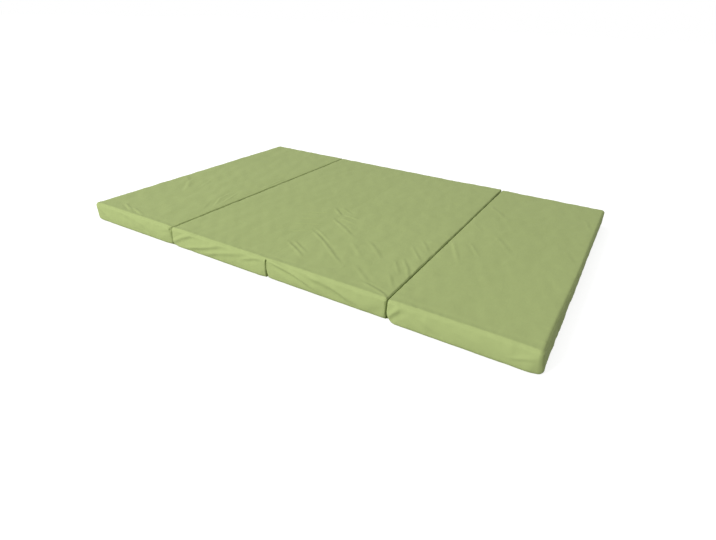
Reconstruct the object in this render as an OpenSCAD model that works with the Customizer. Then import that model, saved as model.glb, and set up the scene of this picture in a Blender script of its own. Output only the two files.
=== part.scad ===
// Folding chair bed: four foam sections in zipped fabric covers.
// The covers are joined along their lower edges at the outer folds and along
// their upper edges at the middle fold, so that the bed closes in a zigzag.
// Axes: X along the bed, Y from the front edge to the zip edge, Z up. The origin
// is on the floor, under the middle of the middle fold.

/* [Foam sections] */
// Length of one section, along the bed
section_l = 454; // [300:1:600]
// Width of the bed, along the folds
bed_w = 1220; // [700:10:1600]
// Height of a section at its edges
edge_h = 73; // [60:1:120]
// Rise of the lying surface from its edges to its middle
crown_h = 3; // [0.5:0.5:8]
// Gap between the walls of two neighbouring sections
fold_gap = 4; // [3:0.5:10]
// Gap left at rest between the two halves of a folding panel
fold_split = 0.3; // [0.2:0.05:0.5]

/* [Cover] */
// Thickness of the cover fabric
fabric_t = 0.8; // [0.5:0.1:1.2]
// Radius of the cover over the upper edges
top_r = 8; // [5:0.5:12]
// Radius of the cover under the lower edges
bottom_r = 16; // [8:0.5:18]
// Radius of the upright corners
corner_r = 6; // [3:0.5:8]
// How far the front and zip walls are drawn in between the corners
side_draw = 3; // [0:0.5:5]
// How far the walls at the folds and ends are drawn in between the corners
end_draw = 1.5; // [0:0.5:3]
// Slit between two panels at a seam
seam_slit = 0.2; // [0.1:0.05:0.4]
// Clearance between the foam and its cover
foam_clear = 0.5; // [0.4:0.05:0.8]

/* [Zip] */
// Distance from a section's corner to the end of its zip panel
zip_margin = 37; // [30:1:80]
// Height of the slot between the two zip strips
slot_h = 10.4; // [10:0.1:14]
// Width of one zip tape
tape_w = 14; // [10:0.5:18]
// Thickness of the zip tape
tape_t = 0.6; // [0.4:0.1:0.8]
// How far a tape runs on past the zip panel, behind the side band
tape_tail = 9; // [4:1:14]
// Distance from one tooth to the next on one tape
tooth_pitch = 4; // [3.5:0.25:6]
// Width of a tooth at its root
tooth_w = 2.6; // [2:0.1:3]
// Depth of the tooth rows, through the cover
tooth_t = 2.6; // [2.2:0.1:3]
// Height of one tooth row, from its tips to its back
row_h = 2.9; // [2.6:0.1:3.2]
// Height of the unbroken back of a tooth row
row_back = 1.6; // [1.4:0.1:1.8]
// Half of the slit between the tips of the two rows
tip_slit = 0.45; // [0.4:0.05:0.6]
// Distance from the ends of the zip panel to the outer ends of the stops
stop_inset = 6; // [3:0.5:12]
// Length of a stop
stop_l = 4; // [2:0.5:6]

/* [Slider] */
// Length of the slider's plates
slider_l = 15; // [13:0.5:18]
// Width of the slider's plates
slider_w = 9.4; // [9:0.1:9.6]
// Thickness of the slider's plates
plate_t = 1.1; // [0.8:0.1:1.4]
// Clearance between the slider and what runs through it
slider_clear = 0.2; // [0.15:0.05:0.3]
// Thickness of the slider's flanges
flange_t = 0.9; // [0.7:0.1:1]
// Length of the bail that holds the pull
bail_l = 11; // [9:0.5:12]
// Width of the bail
bail_w = 3; // [2.4:0.2:3.2]
// Thickness of the bail's strap and feet
bail_t = 1; // [0.8:0.1:1.4]

/* [Pull] */
// Length of the pull, from its pin to its tip
pull_l = 29; // [22:1:34]
// Width of the pull
pull_w = 7.6; // [7:0.2:9]
// Thickness of the pull
pull_t = 1.4; // [1:0.1:1.5]
// Radius of the pull's pin
pin_r = 0.8; // [0.75:0.05:0.9]
// Clearance between the pull and the bail
pull_clear = 0.3; // [0.2:0.05:0.4]
// Radius of the hole near the pull's tip
eye_r = 1.8; // [1:0.1:2.4]

/* [Hidden] */
PIECES = [
    "foam_core", "top_panel", "bottom_panel", "side_band", "zip_strip_upper", "zip_strip_lower",
    "zip_tapes", "zip_teeth", "zip_stops", "zip_slider", "zip_pull"
];
sections = 4;
cut = 1;                                // overrun of every cutting tool
fabric_colour = [0.62, 0.69, 0.42];
foam_colour = [0.93, 0.88, 0.68];
zip_colour = [0.38, 0.45, 0.22];
metal_colour = [0.62, 0.63, 0.62];

half_l = section_l / 2;
half_w = bed_w / 2;
pitch = section_l + fold_gap;
rings = 2;                              // facets from the flat of a panel to its seam
seam_turn = 45;                         // how far round the edge the seam lies
crown_power = 4;                        // how flat the middle of the crown is
draw_power = 16;                        // how close to the corners a wall comes back out
fade_power = 6;                         // how fast the draw fades towards the middle
span_shares_x = [-0.42, 0, 0.42];       // places of the facet lines along X
span_shares_y = [-0.9, -0.5, 0, 0.5, 0.9];  // places of the facet lines along Y

zip_end = half_l - zip_margin;          // half the length of the zip panel
zip_z = edge_h / 2;
zip_face_y = half_w - side_draw;        // outer face of the drawn-in zip wall
tape_y = zip_face_y - fabric_t - seam_slit - tape_t / 2;
row_web = 0.6;                          // what a tape's edge leaves of a tooth row's back
tape_bite = row_back - row_web;         // how deep a tape's edge sits in its tooth row
tape_foot = tip_slit + row_h - tape_bite;  // from the zip's middle to the edge of a tape
tip_share = 0.7;                        // width of a tooth at its tip
chain_end = zip_end - stop_inset - stop_l;
slider_in = tooth_t / 2 + slider_clear; // from the tape's middle to a plate
slider_out = slider_in + plate_t;
slider_rest_x = chain_end - slider_l / 2;
waist_share = 2 / 3;                    // length of a plate's straight sides
nose_share = 0.22;                      // radius of a plate's noses, of its width
web_share = 1 / 4;                      // length of the post between the plates
pin_y = slider_out + pull_clear + pin_r;

function section_x(i) = (i - (sections + 1) / 2) * pitch;
// Folds 1 and 3 join the lower edges of two sections, and fold 2 the upper edges
function fold_is_low(fold) = fold % 2 == 1;
function is_folded(i, side, low) =
    let (fold = side > 0 ? i : i - 1)
    fold >= 1 && fold < sections && fold_is_low(fold) == low;

// A station is [place, ring, side]: ring 0 is on the flat, and the last ring is at the seam
function rolled_edge(side, h, r) =
    [for (m = [0 : rings]) [side * (h - r), m, side]];
function flat_edge(side, h, r) =
    [[side * (h - r), 0, side], [side * (h + (fold_gap - fold_split) / 2), 0, side]];
function reversed(list) = [for (k = [len(list) - 1 : -1 : 0]) list[k]];
function stations_x(r, shift) =
    concat(reversed(rolled_edge(-1, half_l, r)), inner_x(shift), rolled_edge(1, half_l, r));
function panel_stations_x(i, low, r) = concat(
    reversed(is_folded(i, -1, low) ? flat_edge(-1, half_l, r) : rolled_edge(-1, half_l, r)),
    inner_x(0),
    is_folded(i, 1, low) ? flat_edge(1, half_l, r) : rolled_edge(1, half_l, r)
);
function stations_y(r) = concat(
    reversed(rolled_edge(-1, half_w, r)),
    [for (s = span_shares_y) [s * half_w, 0, 0]],
    rolled_edge(1, half_w, r)
);
function inner_x(shift) = concat(
    [[-zip_end - shift, 0, 0]],
    [for (s = span_shares_x) [s * half_l, 0, 0]],
    [[zip_end + shift, 0, 0]]
);

// Place in plan of a point that lies inset from the wall, where the corner has radius rc
function along_corner(t, h, r, inset, rc) =
    h - inset - rc + rc * sin(45 * t) + (1 - t) * (inset + rc - r);
function across_corner(t, h, inset, rc) = h - inset - rc + rc * cos(45 * t);
function plan(a, b, r, inset, rc) =
    let (m = max(a[1], b[1]), t = min(a[1], b[1]) / max(m, 1))
    m == 0 ? [a[0], b[0]] :
    b[1] == 0 ? [a[2] * (half_l - inset), b[0]] :
    a[1] == 0 ? [a[0], b[2] * (half_w - inset)] :
    a[1] >= b[1] ? [a[2] * across_corner(t, half_l, inset, rc),
                    b[2] * along_corner(t, half_w, r, inset, rc)] :
                   [a[2] * along_corner(t, half_l, r, inset, rc),
                    b[2] * across_corner(t, half_w, inset, rc)];

// The walls are drawn in between the corners, apart from a panel's folding edge
function drawn(p, folded_side) =
    let (u = min(abs(p[0]) / half_l, 1), v = min(abs(p[1]) / half_w, 1),
         dx = sign(p[0]) == folded_side ? 0 : end_draw * (1 - pow(v, draw_power)) * pow(u, fade_power),
         dy = side_draw * (1 - pow(u, draw_power)) * pow(v, fade_power))
    [p[0] - sign(p[0]) * dx, p[1] - sign(p[1]) * dy];
function crown(p) =
    let (u = min(abs(p[0]) / half_l, 1), v = min(abs(p[1]) / half_w, 1))
    crown_h * (1 - pow(u, crown_power)) * (1 - pow(v, crown_power));

// How far a point at a turn round an edge lies in from the wall, or down from the face
function wall_inset(turn, r, depth) = depth + (r - depth) * (1 - sin(turn));
function face_inset(turn, r, depth) = depth + (r - depth) * (1 - cos(turn));
// Half of the seam's slit, as a turn round the edge
function slit_turn(r) = seam_slit / 2 / r * 180 / PI;
function panel_turn(r) = seam_turn - slit_turn(r);

// The points of a lying face, depth below its outer side, as far as last_turn round its edges
function face_grid(sx, sy, low, depth, last_turn, folded_side) =
    let (r = low ? bottom_r : top_r)
    [for (b = sy) [for (a = sx)
        let (turn = last_turn * max(a[1], b[1]) / rings,
             p = drawn(plan(a, b, r, wall_inset(turn, r, depth), (corner_r - depth) * sin(turn)), folded_side),
             down = face_inset(turn, r, depth))
        [p[0], p[1], low ? down : edge_h + crown(p) - down]]];
function panel_grid(i, low, depth) =
    let (r = low ? bottom_r : top_r,
         folded_side = is_folded(i, 1, low) ? 1 : is_folded(i, -1, low) ? -1 : 0)
    face_grid(panel_stations_x(i, low, r), low ? reversed(stations_y(r)) : stations_y(r),
              low, depth, panel_turn(r), folded_side);

// The places round a section's wall, from the zip panel's far end round the front and back
function wall_run(r, shift) =
    let (sx = stations_x(r, shift), sy = stations_y(r), nx = len(sx), ny = len(sy), tail = rings + 1)
    concat(
        [for (k = [tail : -1 : 0]) [sx[k], sy[ny - 1]]],
        [for (k = [ny - 2 : -1 : 0]) [sx[0], sy[k]]],
        [for (k = [1 : nx - 1]) [sx[k], sy[0]]],
        [for (k = [1 : ny - 1]) [sx[nx - 1], sy[k]]],
        [for (k = [nx - 2 : -1 : nx - 1 - tail]) [sx[k], sy[ny - 1]]]
    );
function zip_run(r, shift) =
    [for (a = reversed(inner_x(shift))) [a, [half_w - r, rings, 1]]];

// How much of the rolled edge a place on the wall has: none on a folding edge, where the
// wall runs straight on to the panel
function roll_share(i, low, a, b) =
    is_folded(i, a[2], low) && a[1] > 0
        ? (a[1] >= b[1] ? b[1] / rings / 2 : 1 - a[1] / rings / 2)
        : 1;
// A row of wall points. A level is [turn round the edge, edge radius, lower edge or not,
// height, height on a folding edge]
function wall_row(i, run, level, depth) =
    [for (ab = run)
        let (a = ab[0], b = ab[1], turn = level[0], r = level[1],
             share = roll_share(i, level[2], a, b),
             inset = depth + share * (wall_inset(turn, r, depth) - depth),
             p = drawn(plan(a, b, r, inset, (corner_r - depth) * sin(turn)), 0))
        [p[0], p[1], level[4] + min(3 * share, 1) * (level[3] - level[4])]];
function seam_level(low, depth) =
    let (r = low ? bottom_r : top_r, turn = seam_turn + slit_turn(r),
         down = face_inset(turn, r, depth), under = fabric_t + seam_slit)
    low ? [turn, r, low, down, under] : [turn, r, low, edge_h - down, edge_h - under];
function wall_level(low, z) = [90, low ? bottom_r : top_r, low, z, z];

// Fabric between an outer and an inner grid of points, with the rows running to the left
// of the columns when it is looked at from outside
module fabric(outer, inner) {
    rows = len(outer);
    cols = len(outer[0]);
    size = rows * cols;
    cells = [for (r = [0 : rows - 2]) for (c = [0 : cols - 2]) r * cols + c];
    edge = concat(
        [for (c = [0 : cols - 2]) [c, c + 1]],
        [for (r = [0 : rows - 2]) [r * cols + cols - 1, (r + 1) * cols + cols - 1]],
        [for (c = [cols - 1 : -1 : 1]) [(rows - 1) * cols + c, (rows - 1) * cols + c - 1]],
        [for (r = [rows - 1 : -1 : 1]) [r * cols, (r - 1) * cols]]
    );
    polyhedron(
        points = concat([for (row = outer) each row], [for (row = inner) each row]),
        faces = concat(
            [for (k = cells) each [[k, k + cols + 1, k + 1], [k, k + cols, k + cols + 1]]],
            [for (k = cells) each [[k + size, k + size + 1, k + size + cols + 1],
                                   [k + size, k + size + cols + 1, k + size + cols]]],
            [for (e = edge) each [[e[0], e[1], e[1] + size], [e[0], e[1] + size, e[0] + size]]]
        )
    );
}

module panel(i, low) {
    color(fabric_colour)
        translate([section_x(i), 0, 0])
            fabric(panel_grid(i, low, 0), panel_grid(i, low, fabric_t));
}

module top_panel(i) {
    panel(i, false);
}

module bottom_panel(i) {
    panel(i, true);
}

// The plain band: along the front, round both ends and back to the zip panel
module side_band(i) {
    low = wall_run(bottom_r, seam_slit / 2);
    high = wall_run(top_r, seam_slit / 2);
    color(fabric_colour)
        translate([section_x(i), 0, 0])
            fabric(side_band_rows(i, low, high, 0), side_band_rows(i, low, high, fabric_t));
}
function side_band_rows(i, low, high, depth) = [
    wall_row(i, low, seam_level(true, depth), depth),
    wall_row(i, low, wall_level(true, bottom_r), depth),
    wall_row(i, high, wall_level(false, edge_h - top_r), depth),
    wall_row(i, high, seam_level(false, depth), depth)
];

// The two strips of the zip panel, above and below the slot
module zip_strip_upper(i) {
    run = zip_run(top_r, -seam_slit / 2);
    color(fabric_colour)
        translate([section_x(i), 0, 0])
            fabric(upper_rows(i, run, 0), upper_rows(i, run, fabric_t));
}
function upper_rows(i, run, depth) = [
    wall_row(i, run, wall_level(false, zip_z + slot_h / 2), depth),
    wall_row(i, run, wall_level(false, edge_h - top_r), depth),
    wall_row(i, run, seam_level(false, depth), depth)
];

module zip_strip_lower(i) {
    run = zip_run(bottom_r, -seam_slit / 2);
    color(fabric_colour)
        translate([section_x(i), 0, 0])
            fabric(lower_rows(i, run, 0), lower_rows(i, run, fabric_t));
}
function lower_rows(i, run, depth) = [
    wall_row(i, run, seam_level(true, depth), depth),
    wall_row(i, run, wall_level(true, bottom_r), depth),
    wall_row(i, run, wall_level(true, zip_z - slot_h / 2), depth)
];

// The foam slab, pressed in where the back of the zip lies
module foam_core(i) {
    color(foam_colour)
        translate([section_x(i), 0, 0])
            difference() {
                fabric(foam_grid(false), foam_grid(true));
                foam_dent(zip_end + tape_tail + foam_clear, tape_t / 2, tape_foot + tape_w + foam_clear);
                foam_dent(zip_end, slider_out, slot_h / 2);
            }
}
// A dent in the foam behind the zip, as deep as what stands in from the middle of the tapes
module foam_dent(half_length, depth, half_height) {
    translate([-half_length, tape_y - depth - foam_clear, zip_z - half_height])
        cube([2 * half_length, half_w, 2 * half_height]);
}
function foam_grid(low) =
    let (r = low ? bottom_r : top_r)
    face_grid(stations_x(r, 0), stations_y(r), low, fabric_t + foam_clear, 90, 0);

// A block centred on its own middle
module block(size) {
    translate(-size / 2) cube(size);
}

// Puts a zip piece on the zip wall of section i, with its Y pointing out of the cover
module on_zip(i) {
    translate([section_x(i), tape_y, zip_z]) children();
}

module zip_tapes(i) {
    color(zip_colour)
        on_zip(i)
            for (side = [-1, 1])
                translate([0, 0, side * (tape_foot + tape_w / 2)])
                    block([2 * (zip_end + tape_tail), tape_t, tape_w]);
}

// One row of teeth on its back, cut along the back for the edge of the tape
module tooth_row(shift) {
    count = floor(2 * chain_end / tooth_pitch - 1 / 2);
    start = -count * tooth_pitch / 2 + shift;
    tip_w = tooth_w * tip_share;
    points = concat(
        [[-chain_end, row_h]],
        [[-chain_end, row_h - row_back]],
        [for (k = [0 : count - 1])
            let (x = start + (k + 1 / 2) * tooth_pitch)
            each [[x - tooth_w / 2, row_h - row_back], [x - tip_w / 2, 0],
                  [x + tip_w / 2, 0], [x + tooth_w / 2, row_h - row_back]]],
        [[chain_end, row_h - row_back]],
        [[chain_end, row_h]]
    );
    difference() {
        translate([0, 0, tip_slit])
            rotate([90, 0, 0])
                translate([0, 0, -tooth_t / 2])
                    linear_extrude(tooth_t) polygon(points);
        translate([0, 0, tip_slit + row_h - tape_bite / 2])
            block([2 * (chain_end + cut), tape_t + seam_slit, tape_bite + seam_slit]);
    }
}

module zip_teeth(i) {
    color(zip_colour)
        on_zip(i) {
            tooth_row(tooth_pitch / 4);
            mirror([0, 0, 1]) tooth_row(-tooth_pitch / 4);
        }
}

// A broad stop across both rows where the zip opens first, and one on each row at the other end
module zip_stops(i) {
    stop_x = chain_end + seam_slit + stop_l / 2;
    stop_h = tape_foot - seam_slit;
    color(metal_colour)
        on_zip(i) {
            translate([-stop_x, 0, 0]) block([stop_l, tooth_t, 2 * stop_h]);
            for (side = [-1, 1])
                translate([stop_x, 0, side * (tip_slit + stop_h) / 2])
                    block([stop_l, tooth_t, stop_h - tip_slit]);
        }
}

// Moves a slider's pieces to where the slider is parked, with the zip shut
module on_slider(i) {
    on_zip(i) translate([slider_rest_x, 0, 0]) children();
}

module zip_slider(i) {
    slit = tape_t / 2 + slider_clear;
    color(metal_colour)
        on_slider(i) {
            for (out = [-1, 1]) {
                translate([0, out * (slider_in + plate_t / 2), 0]) slider_plate();
                for (side = [-1, 1])
                    translate([0, out * (slit + slider_in) / 2, side * (slider_w - flange_t) / 2])
                        block([slider_l * waist_share, slider_in - slit, flange_t]);
            }
            translate([slider_l * waist_share / 2, 0, 0])
                block([slider_l * web_share, 2 * slider_in, 2 * (tip_slit - slider_clear)]);
            slider_bail();
        }
}
// The plate of a slider, broad where the two rows part and narrow where they close
module slider_plate() {
    nose_r = slider_w * nose_share;
    waist_l = slider_l * waist_share;
    rotate([90, 0, 0])
        linear_extrude(plate_t, center = true)
            union() {
                square([waist_l, slider_w], center = true);
                for (side = [-1, 1])
                    translate([waist_l / 2, side * (slider_w / 2 - nose_r)]) circle(nose_r, $fn = 24);
                translate([waist_l / 2, 0]) square([2 * nose_r, slider_w - 2 * nose_r], center = true);
                translate([-slider_l / 2 + nose_r, 0]) circle(nose_r, $fn = 24);
                translate([-slider_l / 2 + nose_r, -nose_r]) square([waist_l / 2, 2 * nose_r]);
            }
}
// The strap that stands on the plate, with a tunnel for the pull's pin
module slider_bail() {
    tunnel_h = 2 * (pin_r + pull_clear);
    translate([0, slider_out + (tunnel_h + bail_t) / 2, 0])
        difference() {
            block([bail_l, tunnel_h + bail_t, bail_w]);
            translate([0, -bail_t, 0])
                block([bail_l - 2 * bail_t, tunnel_h + bail_t, bail_w + cut]);
        }
}

// The pull: a pin under the bail, an arm each side of it and a tab with a hole
module zip_pull(i) {
    window_l = norm([bail_l / 2, pin_r + pull_clear + bail_t]) + pull_clear;
    window_w = bail_w + 2 * pull_clear;
    tip_r = pull_w / 2;
    color(metal_colour)
        on_slider(i)
            translate([0, pin_y, 0]) {
                translate([0, 0, -window_w / 2]) cylinder(r = pin_r, h = window_w, $fn = 24);
                rotate([90, 0, 0])
                    linear_extrude(pull_t, center = true)
                        difference() {
                            union() {
                                translate([-pull_l + tip_r, 0]) circle(tip_r, $fn = 48);
                                translate([-pull_l + tip_r, -tip_r]) square([pull_l - tip_r + pin_r, pull_w]);
                            }
                            translate([-window_l, -window_w / 2]) square([window_l + pin_r + cut, window_w]);
                            translate([-pull_l + tip_r, 0]) circle(eye_r, $fn = 24);
                        }
            }
}

for (i = [1 : sections]) {
    foam_core(i);
    top_panel(i);
    bottom_panel(i);
    side_band(i);
    zip_strip_upper(i);
    zip_strip_lower(i);
    zip_tapes(i);
    zip_teeth(i);
    zip_stops(i);
    zip_slider(i);
    zip_pull(i);
}
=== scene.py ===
# %% [markdown]
# A folding bed of four foam sections, each in a sewn cover with a zip, lies open on the floor.
# Such a bed could be drawn as four rounded boxes, but then nothing would look sewn. Here each panel
# of the cover is a thin sheet of its own, rolled over the foam's edges and pulled into folds.
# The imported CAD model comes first. It is the frame that every piece is fitted to.

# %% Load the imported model
import math

import bmesh
import bpy
import numpy as np
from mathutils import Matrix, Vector


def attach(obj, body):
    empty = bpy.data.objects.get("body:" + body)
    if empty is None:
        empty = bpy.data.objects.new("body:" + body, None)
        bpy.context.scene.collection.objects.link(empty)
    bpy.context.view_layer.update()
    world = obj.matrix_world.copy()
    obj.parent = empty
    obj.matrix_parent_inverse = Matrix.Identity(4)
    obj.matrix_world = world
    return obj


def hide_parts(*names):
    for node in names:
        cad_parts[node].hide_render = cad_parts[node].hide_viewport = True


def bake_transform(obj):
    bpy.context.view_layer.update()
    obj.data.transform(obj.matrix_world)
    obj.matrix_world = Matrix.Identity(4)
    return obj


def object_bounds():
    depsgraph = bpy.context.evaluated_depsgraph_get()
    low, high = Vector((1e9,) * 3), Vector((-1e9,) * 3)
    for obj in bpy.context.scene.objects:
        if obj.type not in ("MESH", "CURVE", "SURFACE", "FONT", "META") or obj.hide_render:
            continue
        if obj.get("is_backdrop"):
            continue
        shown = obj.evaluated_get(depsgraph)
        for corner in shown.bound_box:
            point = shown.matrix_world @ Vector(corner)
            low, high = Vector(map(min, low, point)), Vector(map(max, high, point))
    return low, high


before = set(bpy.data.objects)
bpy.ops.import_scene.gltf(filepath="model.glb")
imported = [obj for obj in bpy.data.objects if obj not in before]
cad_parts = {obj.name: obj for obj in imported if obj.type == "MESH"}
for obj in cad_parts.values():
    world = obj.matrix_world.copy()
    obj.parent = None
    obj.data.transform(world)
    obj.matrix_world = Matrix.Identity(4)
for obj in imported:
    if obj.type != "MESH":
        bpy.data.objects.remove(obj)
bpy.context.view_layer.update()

# %% [markdown]
# The camera stands where the photograph was taken: in front of the right half, about eighty
# centimetres above the floor, looking down to the left. A short lens makes the near corner large.
# Its place was found by fitting the corners of the sections, so it is written down as numbers.

# %% The camera


def put_in_scene(name, data):
    made = bpy.data.objects.new(name, data)
    bpy.context.scene.collection.objects.link(made)
    return made


camera_data = bpy.data.cameras.new("camera")
camera_data.lens = 24.042
camera_data.sensor_width = 36.0
camera_data.clip_start = 0.05
camera = put_in_scene("camera", camera_data)
camera.location = (0.9689, -1.6892, 0.8119)
camera.rotation_euler = [math.radians(a) for a in (61.616, -2.009, 30.613)]
bpy.context.scene.camera = camera
bpy.context.scene.view_settings.view_transform = "Standard"
print("camera at", tuple(camera.location), "with a lens of", camera_data.lens, "mm")

# %% [markdown]
# The helpers below keep the material cells short. They add a node with its settings and inputs,
# make a material whose shader has its plain values, do one sum, give a point's place on the bed,
# and mix the base colour from a dark and a light one.

# %% Helpers for materials


def add_node(tree, kind, settings=None, **inputs):
    """inputs are given by name, with _ for a space, or as i0, i1 and so on by number."""
    made = tree.nodes.new(kind)
    for key, value in (settings or {}).items():
        setattr(made, key, value)
    for key, value in inputs.items():
        socket = made.inputs[int(key[1:])] if key[1:].isdigit() else made.inputs[key.replace("_", " ")]
        if isinstance(value, bpy.types.NodeSocket):
            tree.links.new(value, socket)
        else:
            socket.default_value = value
    return made


def new_material(name, **values):
    material = bpy.data.materials.new(name)
    material.use_nodes = True
    tree = material.node_tree
    shader = tree.nodes["Principled BSDF"]
    for key, value in values.items():
        shader.inputs[key.replace("_", " ")].default_value = value
    print("material:", name)
    return material, tree, shader


def maths(tree, operation, *values):
    inputs = {f"i{k}": value for k, value in enumerate(values)}
    return add_node(tree, "ShaderNodeMath", {"operation": operation}, **inputs).outputs[0]


def place_on_bed(tree):
    return tree.nodes.new("ShaderNodeTexCoord").outputs["Object"]


def mix_base_colour(tree, shader, share, dark, light):
    mix = add_node(tree, "ShaderNodeMix", {"data_type": "RGBA"}, i0=share, i6=(*dark, 1), i7=(*light, 1))
    tree.links.new(mix.outputs[2], shader.inputs["Base Color"])


# %% [markdown]
# The photograph has a plain white ground. The floor is a white sheet that also glows a little, but
# only for the camera and for reflections, so it looks white without lighting the bed, and it still
# takes the bed's shadow. The world is dimmer for diffuse light than it looks, for the same reason,
# and dimmer still towards the right.

# %% The floor and the white surround


def seen_directly(tree):
    path = tree.nodes.new("ShaderNodeLightPath")
    seen = maths(tree, "MAXIMUM", path.outputs["Is Camera Ray"], path.outputs["Is Glossy Ray"])
    return maths(tree, "MAXIMUM", seen, path.outputs["Is Transmission Ray"])


SKY_LIGHT = 0.705
SKY_FALL = 0.50
FLOOR_GREY = 0.38
FLOOR_GLOW = 0.79
FLOOR_REACH = 30.0
FLOOR_Z = -0.0006

floor_material, tree, shader = new_material(
    "white_floor", Base_Color=(FLOOR_GREY, FLOOR_GREY, FLOOR_GREY, 1), Roughness=1.0,
    Specular_IOR_Level=0.0, Emission_Color=(1, 1, 1, 1)
)
glow = maths(tree, "MULTIPLY", seen_directly(tree), FLOOR_GLOW)
tree.links.new(glow, shader.inputs["Emission Strength"])

floor_mesh = bpy.data.meshes.new("floor")
corners = [(x * FLOOR_REACH, y * FLOOR_REACH, FLOOR_Z) for x, y in ((-1, -1), (1, -1), (1, 1), (-1, 1))]
floor_mesh.from_pydata(corners, [], [(0, 1, 2, 3)])
floor_mesh.materials.append(floor_material)
put_in_scene("floor", floor_mesh)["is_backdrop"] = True
print("floor:", 2 * FLOOR_REACH, "m wide")

world = bpy.data.worlds.new("white_surround")
world.use_nodes = True
bpy.context.scene.world = world
tree = world.node_tree
direction = tree.nodes.new("ShaderNodeTexCoord").outputs["Generated"]
heading = add_node(tree, "ShaderNodeSeparateXYZ", None, Vector=direction)
dimmer = maths(tree, "MULTIPLY_ADD", heading.outputs[0], -SKY_FALL * SKY_LIGHT, SKY_LIGHT)
full = seen_directly(tree)
strength = maths(tree, "MULTIPLY_ADD", full, maths(tree, "SUBTRACT", 1.0, dimmer), dimmer)
tree.nodes["Background"].inputs["Color"].default_value = (1, 1, 1, 1)
tree.links.new(strength, tree.nodes["Background"].inputs["Strength"])

# %% [markdown]
# In the photograph the front walls are a fifth brighter than the tops, the right end is half as
# bright, and everything gets a little darker to the right. So the main light is a large soft lamp
# in front of the bed and to the left, rather low, seven and a half metres away, as a window would be.

# %% The window light
LAMP_AWAY = 7.5
lamp_data = bpy.data.lights.new("window_light", "AREA")
lamp_data.shape = "DISK"
lamp_data.size = 1.9
lamp_data.energy = 398.0
lamp = put_in_scene("window_light", lamp_data)
toward_lamp = Vector((-0.30, -0.84, 0.45)).normalized()
lamp.rotation_euler = toward_lamp.to_track_quat("Z", "Y").to_euler()
lamp.location = toward_lamp * LAMP_AWAY
print("window light:", lamp_data.energy, "W,", round(lamp.location.length, 2), "m away")

# %% [markdown]
# These are the bed's sizes, in metres, as the CAD source has them. Section 1 is the leftmost one.
# Sections 1 and 2, and 3 and 4, are joined along their lower edges. Sections 2 and 3 are joined
# along their upper edges, so their top is one sheet. X runs along the bed, Y from its front to its
# back, and the seams lie at half of the right angle round its edges.

# %% Sizes of the bed
HALF_L = 0.227  # half of a section's length
HALF_W = 0.610  # half of the bed's width
PITCH = 0.458  # from section to section
FOLD = PITCH / 2  # from a section's middle to the fold
EDGE_H = 0.073  # height at the edges
CROWN = 0.0013  # how much higher the middle lies
FABRIC = 0.0008  # thickness of the cloth
ZIP_END = 0.190  # half of the zip panel's length
ZIP_Z = 0.0365  # height of the zip
SLOT = 0.0052  # half of the slot in the zip panel
SEAM_TURN = 45.0  # degrees round an edge to the seam
SECTIONS = (1, 2, 3, 4)
MIDDLE = {s: (s - 2.5) * PITCH for s in SECTIONS}
JOINED_LOW = {(1, 1), (2, -1), (3, 1), (4, -1)}
JOINED_HIGH = {(2, 1), (3, -1)}


def is_joined(section, side, low):
    return (section, side) in (JOINED_LOW if low else JOINED_HIGH)


print("middles of the sections:", MIDDLE)

# %% [markdown]
# A sewn cover rolls over the foam's edges. The roll is wide along the front, the back and the free
# ends, and tight where two sections meet, because there the next section holds the cover in.
# Seen from above the corners are round too, and the lower ones are rounder than the upper ones.
# A sheet that runs on over a fold has next to no roll there.

# %% Rolls and corner radii
TOP_ROLL = 0.011
FOLD_ROLL = 0.005
LOW_ROLL = 0.014
LOW_FOLD_ROLL = 0.007
NO_ROLL = 0.001
# Section, side in x and side in y of a corner: its radius at the top and at the floor
CORNER_RADII = {
    (1, -1, -1): (0.014, 0.019), (1, -1, 1): (0.024, 0.026),
    (1, 1, -1): (0.010, 0.008), (1, 1, 1): (0.009, 0.009),
    (2, -1, -1): (0.010, 0.008), (2, -1, 1): (0.009, 0.009),
    (2, 1, -1): (0.003, 0.006), (2, 1, 1): (0.003, 0.015),
    (3, -1, -1): (0.003, 0.013), (3, -1, 1): (0.003, 0.015),
    (3, 1, -1): (0.009, 0.010), (3, 1, 1): (0.008, 0.010),
    (4, -1, -1): (0.009, 0.016), (4, -1, 1): (0.009, 0.010),
    (4, 1, -1): (0.014, 0.015), (4, 1, 1): (0.016, 0.016),
}


def roll_of(section, side, low):
    if is_joined(section, side, low):
        return NO_ROLL
    if is_joined(section, side, not low):
        return LOW_FOLD_ROLL if low else FOLD_ROLL
    return LOW_ROLL if low else TOP_ROLL


widest = max(radius for pair in CORNER_RADII.values() for radius in pair)
print("corners:", len(CORNER_RADII), "widest radius:", round(1000 * widest), "mm")

# %% [markdown]
# Every panel is woven here from two sets of lines, as a grid. A line has a place, a ring, the wall
# that it belongs to, that wall's side and the radius of the roll. Ring 0 is where the panel starts
# to roll, and ring 1 is its seam, halfway round the edge. The lines are close together at the
# front, where the photograph shows most folds.

# %% Lines of the panels
RINGS = np.linspace(0.0, 1.0, 5)
ZIP_LINES = 104  # steps between the ends of the zip panel
SIDE_LINES = 15  # lines from there to the roll
RIM_STRIP = 0.018  # this close to the front and the back the lines lie RIM_STEP apart
RIM_STEP = 0.003
FRONT_SHARE = 0.52


def rolled_lines(wall, side, roll):
    lines = [(wall - side * roll, ring, wall, side, roll) for ring in RINGS]
    return lines if side > 0 else lines[::-1]


def flat_lines(places):
    return [(place, 0.0, 0.0, 0.0, 0.0) for place in places]


def share_list(step_front, step_back):
    places = [0.0]
    while places[-1] < 1.0:
        place = places[-1]
        edge = min(place, 1 - place) * 2 * HALF_W
        step = RIM_STEP if edge < RIM_STRIP else (step_front if place < FRONT_SHARE else step_back)
        places.append(place + step / (2 * HALF_W))
    return np.array(places[1:-1]) / places[-1]


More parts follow.
